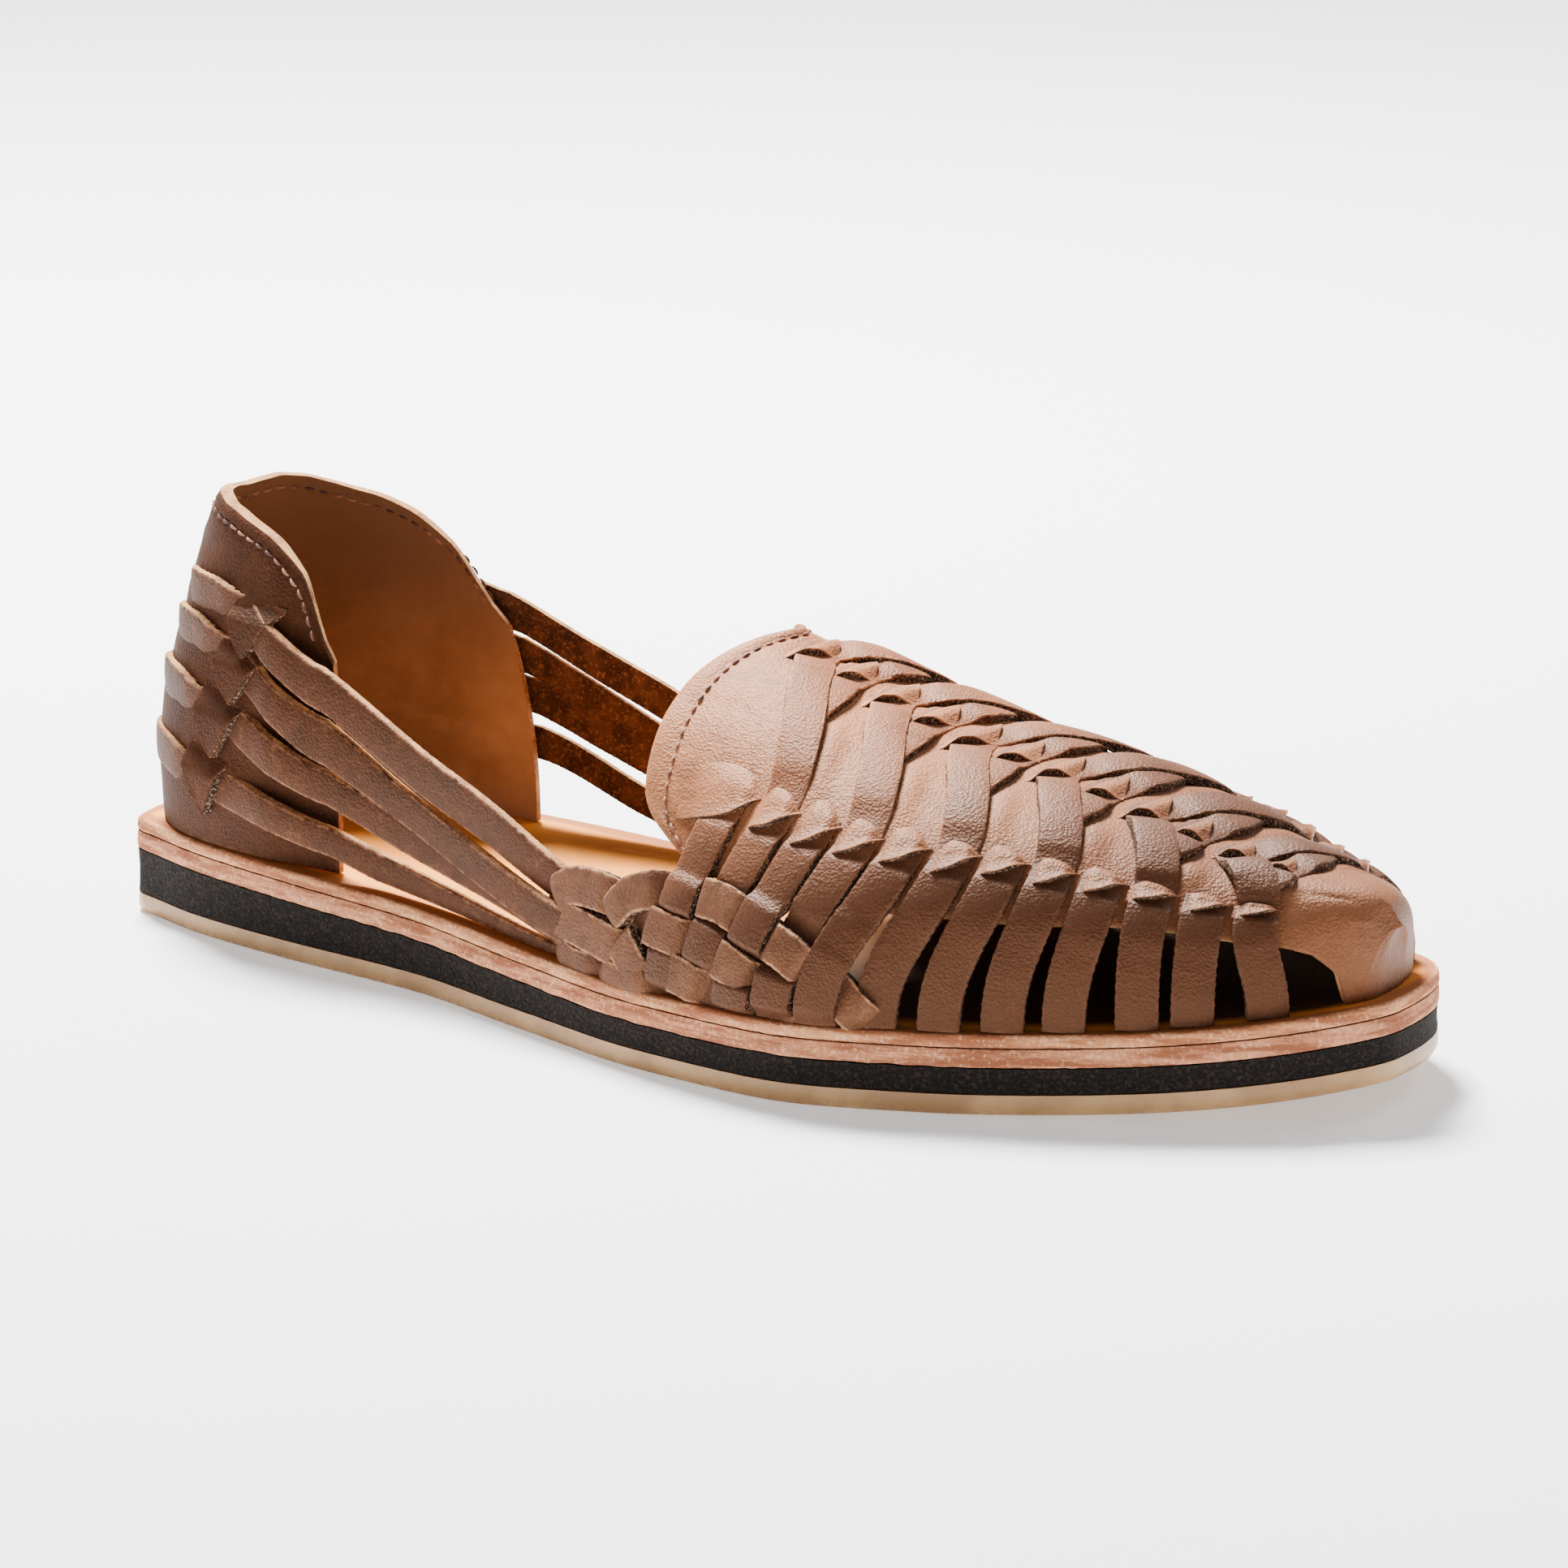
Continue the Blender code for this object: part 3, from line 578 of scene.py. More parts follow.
@dataclass(frozen=True)
class TopLeather:
    """Smooth natural leather of the insole and the lining.

    Attributes:
        name: Name of the material.
        dark, base, light: Screen colours of clouds, face and wrinkles.
        shine: Mean roughness.
        rim: Screen colour along the border, if any.
        shade: Screen colour of the painted shade under the vamp, if any.
        top: Screen colour of the painted shade high up, if any.
    """

    name: str
    dark: tuple
    base: tuple
    light: tuple
    shine: float = 0.70
    rim: tuple | None = None
    shade: tuple | None = None
    top: tuple | None = None

    def make(self) -> Any:
        """Soft clouds, faint wrinkles along the shoe and tiny pores, with painted shade high up and under the
        vamp where asked.
        """
        g = Graph(self.name)
        cloud = g.noise(26.0, 3.0, 0.55)
        streak = g.noise(7.0, 3.0, 0.6, g.stretched((0.35, 1.0, 1.0)))
        tone = g.mix(cloud.step(0.35, 0.68), self.dark, self.base)
        tone = g.mix(streak.step(0.50, 0.70) * 0.22, tone, self.light)
        fine = g.noise(0.7, 2.0, 0.6)
        if self.rim:
            near = 1 - (g.attribute("edge") + (cloud - 0.5) * 3.0).step(2.5, 6.0)
            tone = g.mix(near * 0.8, tone, self.rim)
        if self.top:
            # Painted shade: the lining darkens high up, where less light reaches it than its low part
            tone = g.mix(g.axis("Z").step(0.030, 0.080), tone, self.top)
        if self.shade:
            # Painted shade: the insole darkens under the vamp, away from its border, where little light gets
            # in
            under = g.axis("X").step(-0.01, 0.04) * g.attribute("edge").step(6.0, 12.0)
            tone = g.mix(under * 0.92, tone, self.shade)
        normal = g.bump(streak, 0.0005, 0.3)
        normal = g.bump(g.cells(1.1) * 0.5 + fine * 0.5, 0.00012, 0.8, normal)
        return g.finish(tone, self.shine + (fine - 0.5) * 0.15, normal, 0.22)


@dataclass(frozen=True)
class WeltEdge:
    """Stained edge of the leather layers: rough fibres that run along, darker streaks."""

    name: str
    dark: tuple
    base: tuple
    light: tuple

    def make(self) -> Any:
        """Streaks stretched along the edge over fine fibres."""
        g = Graph(self.name)
        streak = g.noise(5.0, 4.0, 0.65, g.stretched((0.30, 0.30, 2.4)))
        fuzz = g.noise(0.9, 3.0, 0.75)
        tone = g.mix(streak.step(0.38, 0.62), self.dark, self.base)
        tone = g.mix((fuzz * 0.7 + streak * 0.3).step(0.50, 0.64) * 0.6, tone, self.light)
        normal = g.bump(fuzz * 0.6 + streak * 0.4, 0.0006, 0.9)
        return g.finish(tone, 0.88, normal, 0.25)


@dataclass(frozen=True)
class Foam:
    """Black-brown foam with tiny cut cells."""

    name: str = "foam_black_brown"

    def make(self) -> Any:
        """Fine light specks over near black, and pits."""
        g = Graph(self.name)
        pits = g.cells(0.8)
        fuzz = g.noise(0.7, 2.0, 0.7)
        tone = g.mix(fuzz.step(0.45, 0.70), (20, 16, 14), (46, 38, 33))
        return g.finish(tone, 0.93, g.bump(pits * 0.5 + fuzz * 0.5, 0.0004, 0.9), 0.2)


@dataclass(frozen=True)
class Gum:
    """Honey-coloured gum rubber, smooth with a dusty bottom edge."""

    name: str = "gum_honey"

    def make(self) -> Any:
        """Soft clouds, dust near the floor, faint ripples."""
        g = Graph(self.name)
        cloud = g.noise(18.0, 3.0)
        tone = g.mix(cloud.step(0.35, 0.65), (160, 118, 72), (188, 146, 94))
        dust = (1 - g.axis("Z").step(0.0003, 0.0022)) * g.noise(1.2, 3.0).step(0.35, 0.65)
        tone = g.mix(dust * 0.5, tone, (128, 94, 58))
        normal = g.bump(g.noise(1.4, 3.0, 0.6), 0.0003, 0.5)
        return g.finish(tone, 0.42 + dust * 0.3, normal, Coat_Weight=0.05, Coat_Roughness=0.35,
                        Subsurface_Weight=0.12, Subsurface_Radius=(0.004, 0.002, 0.001))


@dataclass(frozen=True)
class Thread:
    """Waxed sewing thread."""

    name: str = "thread_waxed"

    def make(self) -> Any:
        """Two browns from a short noise, twisted by a fine bump."""
        g = Graph(self.name)
        tone = g.mix(g.noise(9.0, 2.0).step(0.42, 0.6), (74, 34, 24), (150, 96, 70))
        return g.finish(tone, 0.6, g.bump(g.noise(0.3, 2.0), 0.0001, 0.8))


@dataclass(frozen=True)
class Studio:
    """Plain pale sweep under the shoe."""

    name: str = "sweep_pale"
    glow: float = 0.54

    def make(self) -> Any:
        """Near white with a very faint cloud."""
        g = Graph(self.name)
        tone = g.mix(g.noise(900.0, 2.0), (0.80, 0.80, 0.80, 1.0), (0.83, 0.83, 0.83, 1.0))
        return g.finish(tone, 0.9, None, 0.1, Emission_Color=NEUTRAL, Emission_Strength=self.glow)


# The vamp's and the cross straps' leather take painted shade near the floor and the toe (fall, low)
GRAIN_VAMP = Leather("leather_vamp", (124, 74, 47), (172, 110, 73), (210, 148, 104), 16.0, 0.54, sheen=0.28,
                     fall=0.74, low=(90, 53, 34))
GRAIN_STRAP = Leather("leather_strap", (106, 62, 40), (144, 88, 58), (196, 134, 94), 16.0, 0.54,
                      edge_light=0.7, sheen=0.28, fall=0.90, low=(64, 37, 25))
GRAIN_SIDE = Leather("leather_side_strap", (58, 33, 21), (78, 45, 29), (162, 110, 78), 12.0, 0.58,
                     edge_light=0.8, sheen=0.20)
GRAIN_BRAID = Leather("leather_braid", (76, 47, 33), (106, 68, 48), (186, 134, 98), 9.0, 0.58, edge_light=1.0,
                      sheen=0.24)
GRAIN_COUNTER = Leather("leather_counter", (48, 25, 15), (66, 35, 20), (112, 68, 44), 10.0, 0.66, sheen=0.18)
CUT_DARK = Fibre("cut_edge_dark", (32, 19, 13), (66, 41, 28), (228, 186, 146), 0.72, 0.6)
CUT_PALE = Fibre("cut_edge_pale", (130, 84, 52), (188, 136, 88), (236, 196, 146), 0.6, 0.7)
FLESH = Fibre("flesh_side", (56, 32, 20), (88, 54, 36), (170, 120, 84), 0.5, 1.0)
# The vamp's flesh side, painted near black as shade: little light gets inside the vamp
FLESH_SHADED = Fibre("flesh_side_vamp_shaded", (22, 13, 9), (42, 25, 17), (110, 74, 50), 0.3, 1.0)
# The lining's top and the insole under the vamp take painted shade; the insole's rim is a stain
LINING = TopLeather("lining_tan", (146, 108, 76), (176, 134, 98), (192, 150, 112), top=(106, 74, 50))
INSOLE_TOP = TopLeather("insole_tan", (226, 136, 44), (238, 150, 50), (242, 168, 74), rim=(142, 80, 46),
                        shade=(44, 27, 16))
WELT = WeltEdge("welt_edge", (146, 86, 58), (202, 134, 96), (238, 186, 148))
INSOLE_RIM = WeltEdge("insole_edge", (152, 90, 58), (204, 138, 94), (238, 190, 148))


def squares(rows: int, columns: int, start: int, turned: bool, wrap: bool = False) -> Array:
    """Faces of a grid of points, turned over on request, wrapped round its columns on request."""
    row = np.arange(rows - 1)[:, None] * columns
    column = np.arange(columns if wrap else columns - 1)[None, :]
    following = (column + 1) % columns
    faces = np.stack([row + column, row + columns + column, row + columns + following, row + following], -1)
    faces = faces.reshape(-1, 4) + start
    return faces[:, ::-1] if turned else faces


@dataclass
class Hide:
    """Collects pieces cut from leather, which become one mesh with grain, cut and flesh faces."""

    points: list = field(default_factory=list)
    faces: list = field(default_factory=list)
    layers: list = field(default_factory=list)
    edges: list = field(default_factory=list)
    count: int = 0

    def shell(self, outer: Array, inner: Array, turned: bool = False) -> None:
        """Adds a closed piece between two grids of the same shape, its border walled.

        Args:
            outer: Points (rows, columns, 3) of the face that shows, rows x columns turning outwards.
            inner: Points of the hidden face.
            turned: Whether the grids turn inwards as given, and are read from their other side.
        """
        if turned:
            outer, inner = outer[:, ::-1], inner[:, ::-1]
        rows, columns = outer.shape[:2]
        size = rows * columns
        along = run_along(outer[:, columns // 2])
        across = np.linalg.norm(np.diff(outer, axis=1), axis=-1).cumsum(1)
        across = np.concatenate([np.zeros((rows, 1)), across], 1)
        near = np.minimum(across, across[:, -1:] - across)
        near = np.minimum(near, np.minimum(along, along[-1] - along)[:, None])
        border = np.concatenate([
            np.arange(columns - 1),
            np.arange(rows - 1) * columns + columns - 1,
            np.arange(size - 1, size - columns, -1),
            np.arange(size - columns, 0, -columns),
        ])
        following = np.roll(border, -1)
        start = self.count
        walls = np.stack([border, following, following + size, border + size], -1) + start
        front = squares(rows, columns, start, False)
        back = squares(rows, columns, start + size, True)
        self.points += [outer.reshape(-1, 3), inner.reshape(-1, 3)]
        self.faces += [front, back, walls]
        kinds = ((front, Layer.GRAIN), (back, Layer.FLESH), (walls, Layer.CUT))
        self.layers += [np.full(len(part), int(kind)) for part, kind in kinds]
        self.edges += [near.ravel() / MM, near.ravel() / MM]
        self.count += 2 * size

    def piece(self, name: str, node: str, finishes: Sequence[Any], sharp: float = 42.0) -> Any:
        """Makes the mesh object, dresses it and ties it to the frame.

        Args:
            name: Name of the piece.
            node: CAD node that it stands for.
            finishes: Finishes for grain, cut and flesh.
            sharp: Angle in degrees past which an edge is crisp.

        Returns:
            The object.
        """
        points = np.concatenate(self.points)
        made = add_mesh(name, points, np.concatenate(self.faces), np.concatenate(self.layers), finishes,
                        sharp)
        mark_edges(made, np.concatenate(self.edges))
        return tie(made, node)


_made: dict[str, Any] = {}


def finish_of(finish: Any) -> Any:
    """The finish's material, made once."""
    if finish.name not in _made:
        _made[finish.name] = finish.make()
    return _made[finish.name]


def add_mesh(name: str, points: Array, faces: Array, layers: Array, finishes: Sequence[Any],
             sharp: float) -> Any:
    """Puts arrays of points and four-cornered faces into a smooth mesh object."""
    mesh = bpy.data.meshes.new(name)
    mesh.from_pydata(points.tolist(), [], faces.tolist())
    mesh.polygons.foreach_set("material_index", layers.astype(np.int32))
    mesh.shade_smooth()
    mesh.set_sharp_from_angle(angle=np.radians(sharp))
    for finish in finishes:
        mesh.materials.append(finish_of(finish))
    mesh.update()
    made = bpy.data.objects.new(name, mesh)
    bpy.context.scene.collection.objects.link(made)
    return made


def mark_edges(made: Any, distances: Array) -> None:
    """Keeps on each point how far in mm it is from the piece's edge."""
    kept = made.data.attributes.new("edge", "FLOAT", "POINT")
    kept.data.foreach_set("value", distances.astype(np.float32))


def tie(made: Any, node: str) -> Any:
    """Lets a piece ride on the shoe and stand for a node, and reports it."""
    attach(made, "root")
    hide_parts(node)
    log.info("%s: %d faces", made.name, len(made.data.polygons))
    return made


def strip(centre: Array, normal: Array, width: Array | float, thick: Array | float, seed: float,
          crown: float = 0.35 * MM) -> tuple[Array, Array]:
    """A flat strip of leather along a path: a crowned face with eased, slightly ragged edges.

    The point at (row, place) is centre + across * place * width / 2 + up * (crown * (1 - place^2) - ease).

    Args:
        centre: Points of the middle of the outer face.
        normal: Outward normals there.
        width: Width of the strip, one for all rows or one for each.
        thick: Thickness, one for all rows or one for each.
        seed: Shifts the raggedness.
        crown: How far the middle stands over the edges.

    Returns:
        The outer and the inner grid.
    """
    tangent = unit(np.gradient(centre, axis=0))
    across = unit(np.cross(normal, tangent))
    up = unit(np.cross(tangent, across))
    run = run_along(centre)
    half = np.broadcast_to(np.asarray(width, float) / 2, run.shape)
    left, right = ripple(run * 3100, seed)[:, None], ripple(run * 2700, seed + 3)[:, None]
    ragged = np.where(ACROSS < 0, left, right) * 0.15 * MM
    reach = ACROSS * half[:, None] + np.sign(ACROSS) * ragged * np.abs(ACROSS) ** 8
    height = crown * (1 - ACROSS**2) - EASED * MM
    outer = centre[:, None] + across[:, None] * reach[..., None] + up[:, None] * height[None, :, None]
    inner = centre[:, None] + across[:, None] * reach[..., None] * 0.99 - up[:, None] * thick
    return outer, inner


@dataclass
class Stitches:
    """A row of short stitches along a path."""

    pitch: float = 3.1 * MM
    length: float = 2.3 * MM
    radius: float = 0.32 * MM

    def build(self, name: str, path: Array, normal: Array, node: str, slot: str) -> Any:
        """Lays spindles end to end: radius * sqrt(sin(pi * share)) round the path, six sides each."""
        run = run_along(path)
        starts = np.arange(0.4 * self.pitch, run[-1] - self.pitch, self.pitch)
        share = np.array([0.0, 0.12, 0.35, 0.65, 0.88, 1.0])
        at = starts[:, None] + share * self.length
        centre = np.stack([np.interp(at, run, path[:, k]) for k in range(3)], -1)
        up = unit(np.stack([np.interp(at, run, normal[:, k]) for k in range(3)], -1))
        tangent = unit(np.gradient(centre, axis=1))
        across = unit(np.cross(up, tangent))
        sink = up * (self.radius * (0.25 - 1.1 * np.abs(2 * share - 1) ** 3))[None, :, None]
        angle = np.arange(6) * np.pi / 3
        girth = self.radius * (0.25 + 0.75 * np.sqrt(np.sin(np.pi * np.clip(share, 0.02, 0.98))))
        ring = across[:, :, None] * np.cos(angle)[:, None] + up[:, :, None] * np.sin(angle)[:, None]
        points = (centre + sink)[:, :, None] + ring * girth[None, :, None, None]
        size = len(share) * 6
        body = squares(len(share), 6, 0, True, True)
        caps = np.array([[0, 1, 2, 3], [0, 3, 4, 5], [33, 32, 31, 30], [35, 34, 33, 30]])
        firsts = np.arange(len(starts))[:, None, None] * size
        faces = (np.concatenate([body, caps])[None] + firsts).reshape(-1, 4)
        made = add_mesh(name, points.reshape(-1, 3), faces, np.zeros(len(faces)), [Thread()], 60.0)
        return tie(made, node)


@dataclass
class Sole:
    """Gum outsole, foam, leather midsole and insole, as layers with their own edges."""

    last: Last
    stations: int = 260
    jag: float = 0.20 * MM

    def layer(self, name: str, bottom: int, top: int, edge: Sequence[tuple], rough: float,
              finishes: Sequence[Any]) -> Any:
        """One layer: each cross-section runs round bottom, inner edge, top and outer edge.

        The edge is a list of (inset, share of the thickness). A small ripple makes it uneven, and the line
        between foam and leather is slightly torn.

        Args:
            name: Node and piece name.
            bottom: Levels under the layer.
            top: Levels up to its top.
            edge: Profile of the edge from bottom to top.
            rough: How uneven the edge is, in metres.
            finishes: Finishes of top, edge and bottom.

        Returns:
            The piece.
        """
        last = self.last
        along = 0.5 - 0.5 * np.cos(np.linspace(0, np.pi, self.stations))
        gap = last.gap / 2
        low = last.level(bottom, along) + (gap if bottom else 0.0)
        high = last.level(top, along) - (gap if top < 4 else 0.0)
        jag = self.jag * ripple(along * 900, 2.0) * np.sin(np.pi * along)
        low = low + jag * (bottom == 2)
        high = high + jag * (top == 2)
        spread = np.array([0, 0.015, 0.03, 0.045, 0.06, 0.08, 0.11, 0.16, 0.24, 0.34, 0.44])
        spread = np.concatenate([spread, [0.5], 1 - spread[::-1]])
        columns = len(spread)
        wave = {side: rough * ripple(along * 310 + side * 5, bottom + 2.0) for side in (-1, 1)}
        fade = np.sin(np.pi * np.clip(along, 0, 1)) ** 0.3

        def edge_point(side: int, inset: float, share: float) -> Array:
            """Points along one side at one place of the edge's profile."""
            here = last.outline(side, along, inset + wave[side] * fade)
            return np.column_stack([here, low + (high - low) * share])

        def across(inset: float, share: float, flip: bool) -> Array:
            """A face of the layer from one side to the other."""
            first, second = edge_point(-1, inset, share), edge_point(1, inset, share)
            mixed = first[:, None] + (second - first)[:, None] * spread[None, :, None]
            return mixed[:, ::-1] if flip else mixed

        under = across(*edge[0], False)
        up_inner = np.stack([edge_point(1, *part) for part in edge[1:-1]], 1)
        over = across(*edge[-1], True)
        down_outer = np.stack([edge_point(-1, *part) for part in edge[-2:0:-1]], 1)
        loop = np.concatenate([under, up_inner, over, down_outer], 1)
        wide = loop.shape[1]
        faces = squares(self.stations, wide, 0, False, True)
        over_at = columns + len(edge) - 2
        kinds = np.full(wide, int(Layer.CUT))
        kinds[: columns - 1] = Layer.FLESH
        kinds[over_at : over_at + columns - 1] = Layer.GRAIN
        layers = np.tile(kinds, self.stations - 1)
        made = add_mesh(name + "_fine", loop.reshape(-1, 3), faces, layers, finishes, 50.0)
        breadth = np.linalg.norm(last.outline(1, along) - last.outline(-1, along), axis=-1)[:, None]
        ends = np.minimum(along, 1 - along)[:, None] * last.length
        near = np.zeros((self.stations, wide))
        near[:, over_at : over_at + columns] = np.minimum(np.minimum(spread, 1 - spread) * breadth, ends)
        mark_edges(made, near.ravel() / MM)
        return tie(made, name)

    def build(self) -> None:
        """Makes the four layers, from the floor up."""
        # Name, edge as (inset in mm, share of the thickness), unevenness in mm, finishes of top, edge, bottom
        layers = (
            ("outsole", ((1.3, 0.0), (0.5, 0.08), (0.05, 0.3), (0.0, 0.7), (0.15, 1.0)), 0.10, (Gum(),) * 3),
            ("foam_midsole", ((0.1, 0.0), (0.25, 0.25), (0.3, 0.6), (0.1, 1.0)), 0.15, (Foam(),) * 3),
            ("leather_midsole", ((0.1, 0.0), (-0.1, 0.2), (0.0, 0.8), (0.25, 1.0)), 0.15, (WELT,) * 3),
            ("insole", ((0.30, 0.0), (0.0, 0.18), (0.05, 0.72), (0.35, 0.93), (0.9, 1.0)), 0.20,
             (INSOLE_TOP, INSOLE_RIM, FLESH)),
        )
        for level, (name, edge, rough, finishes) in enumerate(layers):
            edge = [(inset * MM, share) for inset, share in edge]
            self.layer(name, level, level + 1, edge, rough * MM, finishes)


@dataclass
class Vamp:
    """The woven front: base leather with saddle and toe cap, cross straps, tiles and side braids."""

    last: Last
    width: float = 8.5 * MM
    thick: float = 1.9 * MM
    sheet: float = 2.0 * MM
    tile: float = 1.8 * MM
    puff: float = 0.9 * MM
    groove: float = 0.30 * MM
    count: int = 12
    # Strap number and end girth of the saddle's stitch line
    stitch_row: float = 0.35
    stitch_end: float = 0.67
    # How far each strap's foot leans along, in strap numbers
    lean: tuple = (0.15, 0.0, -0.05, -0.10, -0.16, -0.13, -0.10, -0.05, -0.06, 0.10, 0.0, 0.40)
    # The lower border of the base leather: strap number and girth
    border: tuple = ((-1.5, 0.70), (0.0, 0.70), (0.5, 0.69), (8.0, 0.69), (9.5, 0.655), (10.5, 0.645),
                     (11.5, 0.667),
                     (12.5, 0.70), (13.6, 0.755), (14.6, 0.86), (15.0, 0.985), (15.1, 1.0), (16.0, 1.0))

    def lay(self, strap: Array, girth: Array, lift: Array) -> tuple:
        """Points and normals over the last: the surface plus its normal times the lift."""
        normal = self.last.vamp_normal(strap, girth)
        return self.last.vamp(strap, girth) + normal * np.asarray(lift)[..., None], normal

    def base(self) -> None:
        """Base leather: rows of girth up to the border, puffed between strap pairs, closed at the toe.

        Past the last row the toe's wall turns down by a quarter: x and y by its sine, z by 1 - cosine.
        """
        spans = ((0.05, 0.6, 12), (0.68, 12.4, 120), (12.5, 16.0, 40))
        straps = np.concatenate([np.linspace(*span) for span in spans])
        spread = np.sin(np.linspace(-1, 1, 97) * np.pi / 2)
        spread = 0.6 * spread + 0.4 * np.linspace(-1, 1, 97)
        keys, values = np.array(self.border).T
        reach = np.interp(straps, keys, values)
        girth = spread[None, :] * reach[:, None]
        strap = np.broadcast_to(straps[:, None], girth.shape)
        points = self.last.vamp(strap, girth)
        points[..., 0] += self.corner(strap, girth)
        beat = np.cos(np.pi * (strap - 0.5))
        puff = self.puff * np.clip(beat, 0, 1) ** 2 * bell(np.abs(girth), 0.30, 0.11) * ease(strap, 0.6, 1.6)
        puff = puff * (1 - ease(strap, 12.2, 13.0))
        puff += self.creases(strap, girth)
        from_edge = (strap - 0.05) * 10.5
        puff -= self.groove * bell(from_edge, 3.4, 0.7) * (np.abs(girth) < 0.66)
        puff += 0.35 * MM * bell(from_edge, 1.6, 1.2)
        along = 1 - (1 - self.last.base[-1]) * np.abs(np.linspace(-1, 1, 97))
        plan = self.last.either(spread, along, self.last.ledge(along) + self.last.wall / 4)
        toe = np.column_stack([plan, self.last.floor(plan) + self.last.gap])
        turn = np.linspace(0, 1, 9)[1:, None, None] * np.pi / 2
        way = np.concatenate([np.sin(turn), np.sin(turn), 1 - np.cos(turn)], -1)
        closing = points[-1] + (toe - points[-1]) * way
        points = np.concatenate([points, closing])
        puff = np.concatenate([puff, np.zeros(closing.shape[:2])])
        normal = unit(np.cross(np.gradient(points, axis=0), np.gradient(points, axis=1)))
        eased = 0.35 * MM * (1 - ease(1 - np.abs(spread), 0.0, 0.012))[None, :] * np.ones((len(points), 1))
        eased[0] = 0.35 * MM
        eased[1:3] += 0.05 * MM
        outer = points + normal * (puff - eased)[..., None]
        inner = points - normal * self.sheet
        inner[..., 2] = np.maximum(inner[..., 2], self.last.floor(inner) + 0.05 * MM)
        hide = Hide()
        hide.shell(outer, inner)
        hide.piece("base_leather", "vamp", (GRAIN_VAMP, CUT_PALE, FLESH_SHADED))

    def corner(self, strap: Array, girth: Array) -> Array:
        """Forward move that rounds the saddle's lower corners: a step down the girth, fading forward."""
        return 11 * MM * ease(np.abs(girth), 0.50, 0.74) ** 1.5 * (1 - ease(strap, 0.05, 1.1))

    def creases(self, strap: Array, girth: Array) -> Array:
        """Soft troughs and ridges: Gaussian across, cosine along, in strap and girth units."""
        rows = ((0.5, -0.30, 1.4, 0.03, 0.5, -0.25), (0.9, -0.12, 1.2, 0.03, -0.4, 0.25),
                (0.4, 0.25, 1.3, 0.03, 0.3, -0.3), (13.6, -0.25, 1.3, 0.05, 0.3, -0.35),
                (14.3, 0.05, 1.1, 0.05, -0.3, 0.30), (13.3, 0.35, 1.2, 0.05, 0.2, -0.3),
                (14.9, -0.45, 0.9, 0.05, 0.5, 0.25), (0.2, -0.55, 0.8, 0.04, -0.6, -0.35))
        total = np.zeros(strap.shape)
        for place, side, long, wide, turn, depth in rows:
            ahead = (strap - place) / long
            fade = np.cos(np.clip(ahead, -1, 1) * np.pi / 2) ** 2
            total += depth * MM * bell(girth, side + 0.1 * turn * ahead, wide) * fade
        return total

    def cross_straps(self) -> None:
        """Straps over the spine. Each pair crosses, the even one on top, and dips under the tiles.

        By girth and height in mm, an odd strap dives into the base leather beside the spine, and an even one
        arches over it. Through the braid the heights are made crisp.
        """
        odd_girth = (0, 0.04, 0.12, 0.20, 0.27, 0.33, 0.39, 0.45, 0.50, 1.0)
        odd_shift = (1.05, 1.05, 1.05, 0.88, 0.60, 0.36, 0.17, 0.02, 0, 0)
        even_girth = (0, 0.04, 0.10, 0.18, 0.26, 0.35, 0.43, 0.50, 1.0)
        even_shift = (-0.95, -0.85, -0.62, -0.42, -0.22, -0.09, -0.02, 0, 0)
        rest = ((0.43, 0.7), (0.475, 0.35), (0.53, 0.8), (0.58, 1.9), (0.69, 2.0))
        odd_lift = ((0, 0.35), (0.05, 0.6), (0.11, 1.9), (0.20, 1.8), (0.28, -0.5), (0.34, -0.9),
                    (0.44, -0.5)) + rest[1:]
        even_lift = ((0, 0.35), (0.05, 0.7), (0.10, 2.2), (0.17, 2.9), (0.25, 2.6), (0.32, 2.2),
                     (0.38, 1.7)) + rest
        # Lifts over and under the braid, by strap: girth and millimetres
        braid = {
            1: ((0.745, 3.5), (0.848, 0.7), (0.93, 3.4), (1.0, 1.2)),
            2: ((0.748, 0.7), (0.863, 3.5), (0.943, 0.7), (1.0, 1.2)),
            3: ((0.79, 3.5), (0.89, 0.7), (0.965, 3.2), (1.0, 1.4)),
            4: ((0.833, 0.7), (0.94, 3.3), (1.0, 1.2)),
            5: ((0.80, 2.2), (0.90, 3.5), (1.0, 1.8)),
        }
        hide = Hide()
        for number in range(1, self.count + 1):
            girth = np.sin(np.linspace(-1, 1, 301) * np.pi / 2) * 0.35 + np.linspace(-1, 1, 301) * 0.65
            size = np.abs(girth)
            if number % 2:
                strap, table = number + smooth(odd_girth, odd_shift, size), odd_lift
            else:
                strap, table = number + smooth(even_girth, even_shift, size), even_lift
            table = table + braid.get(number, ((0.78, 1.6), (0.92, 1.5), (1.0, 1.2)))
            strap = strap + self.lean[number - 1] * ease(size, 0.6, 1.0)
            keys, values = np.array(table).T
            lift = smooth(keys, values, size) + 0.12 * ripple(girth * 9, number)
            if number in braid:
                lift += (crisp(lift) - lift) * ease(size, 0.70, 0.74)
            centre, normal = self.lay(strap, girth, lift * MM)
            outer, inner = strip(centre, normal, self.width, self.thick, number)
            hide.shell(outer, inner)
        hide.piece("cross_straps", "vamp", (GRAIN_STRAP, CUT_DARK, FLESH_SHADED))

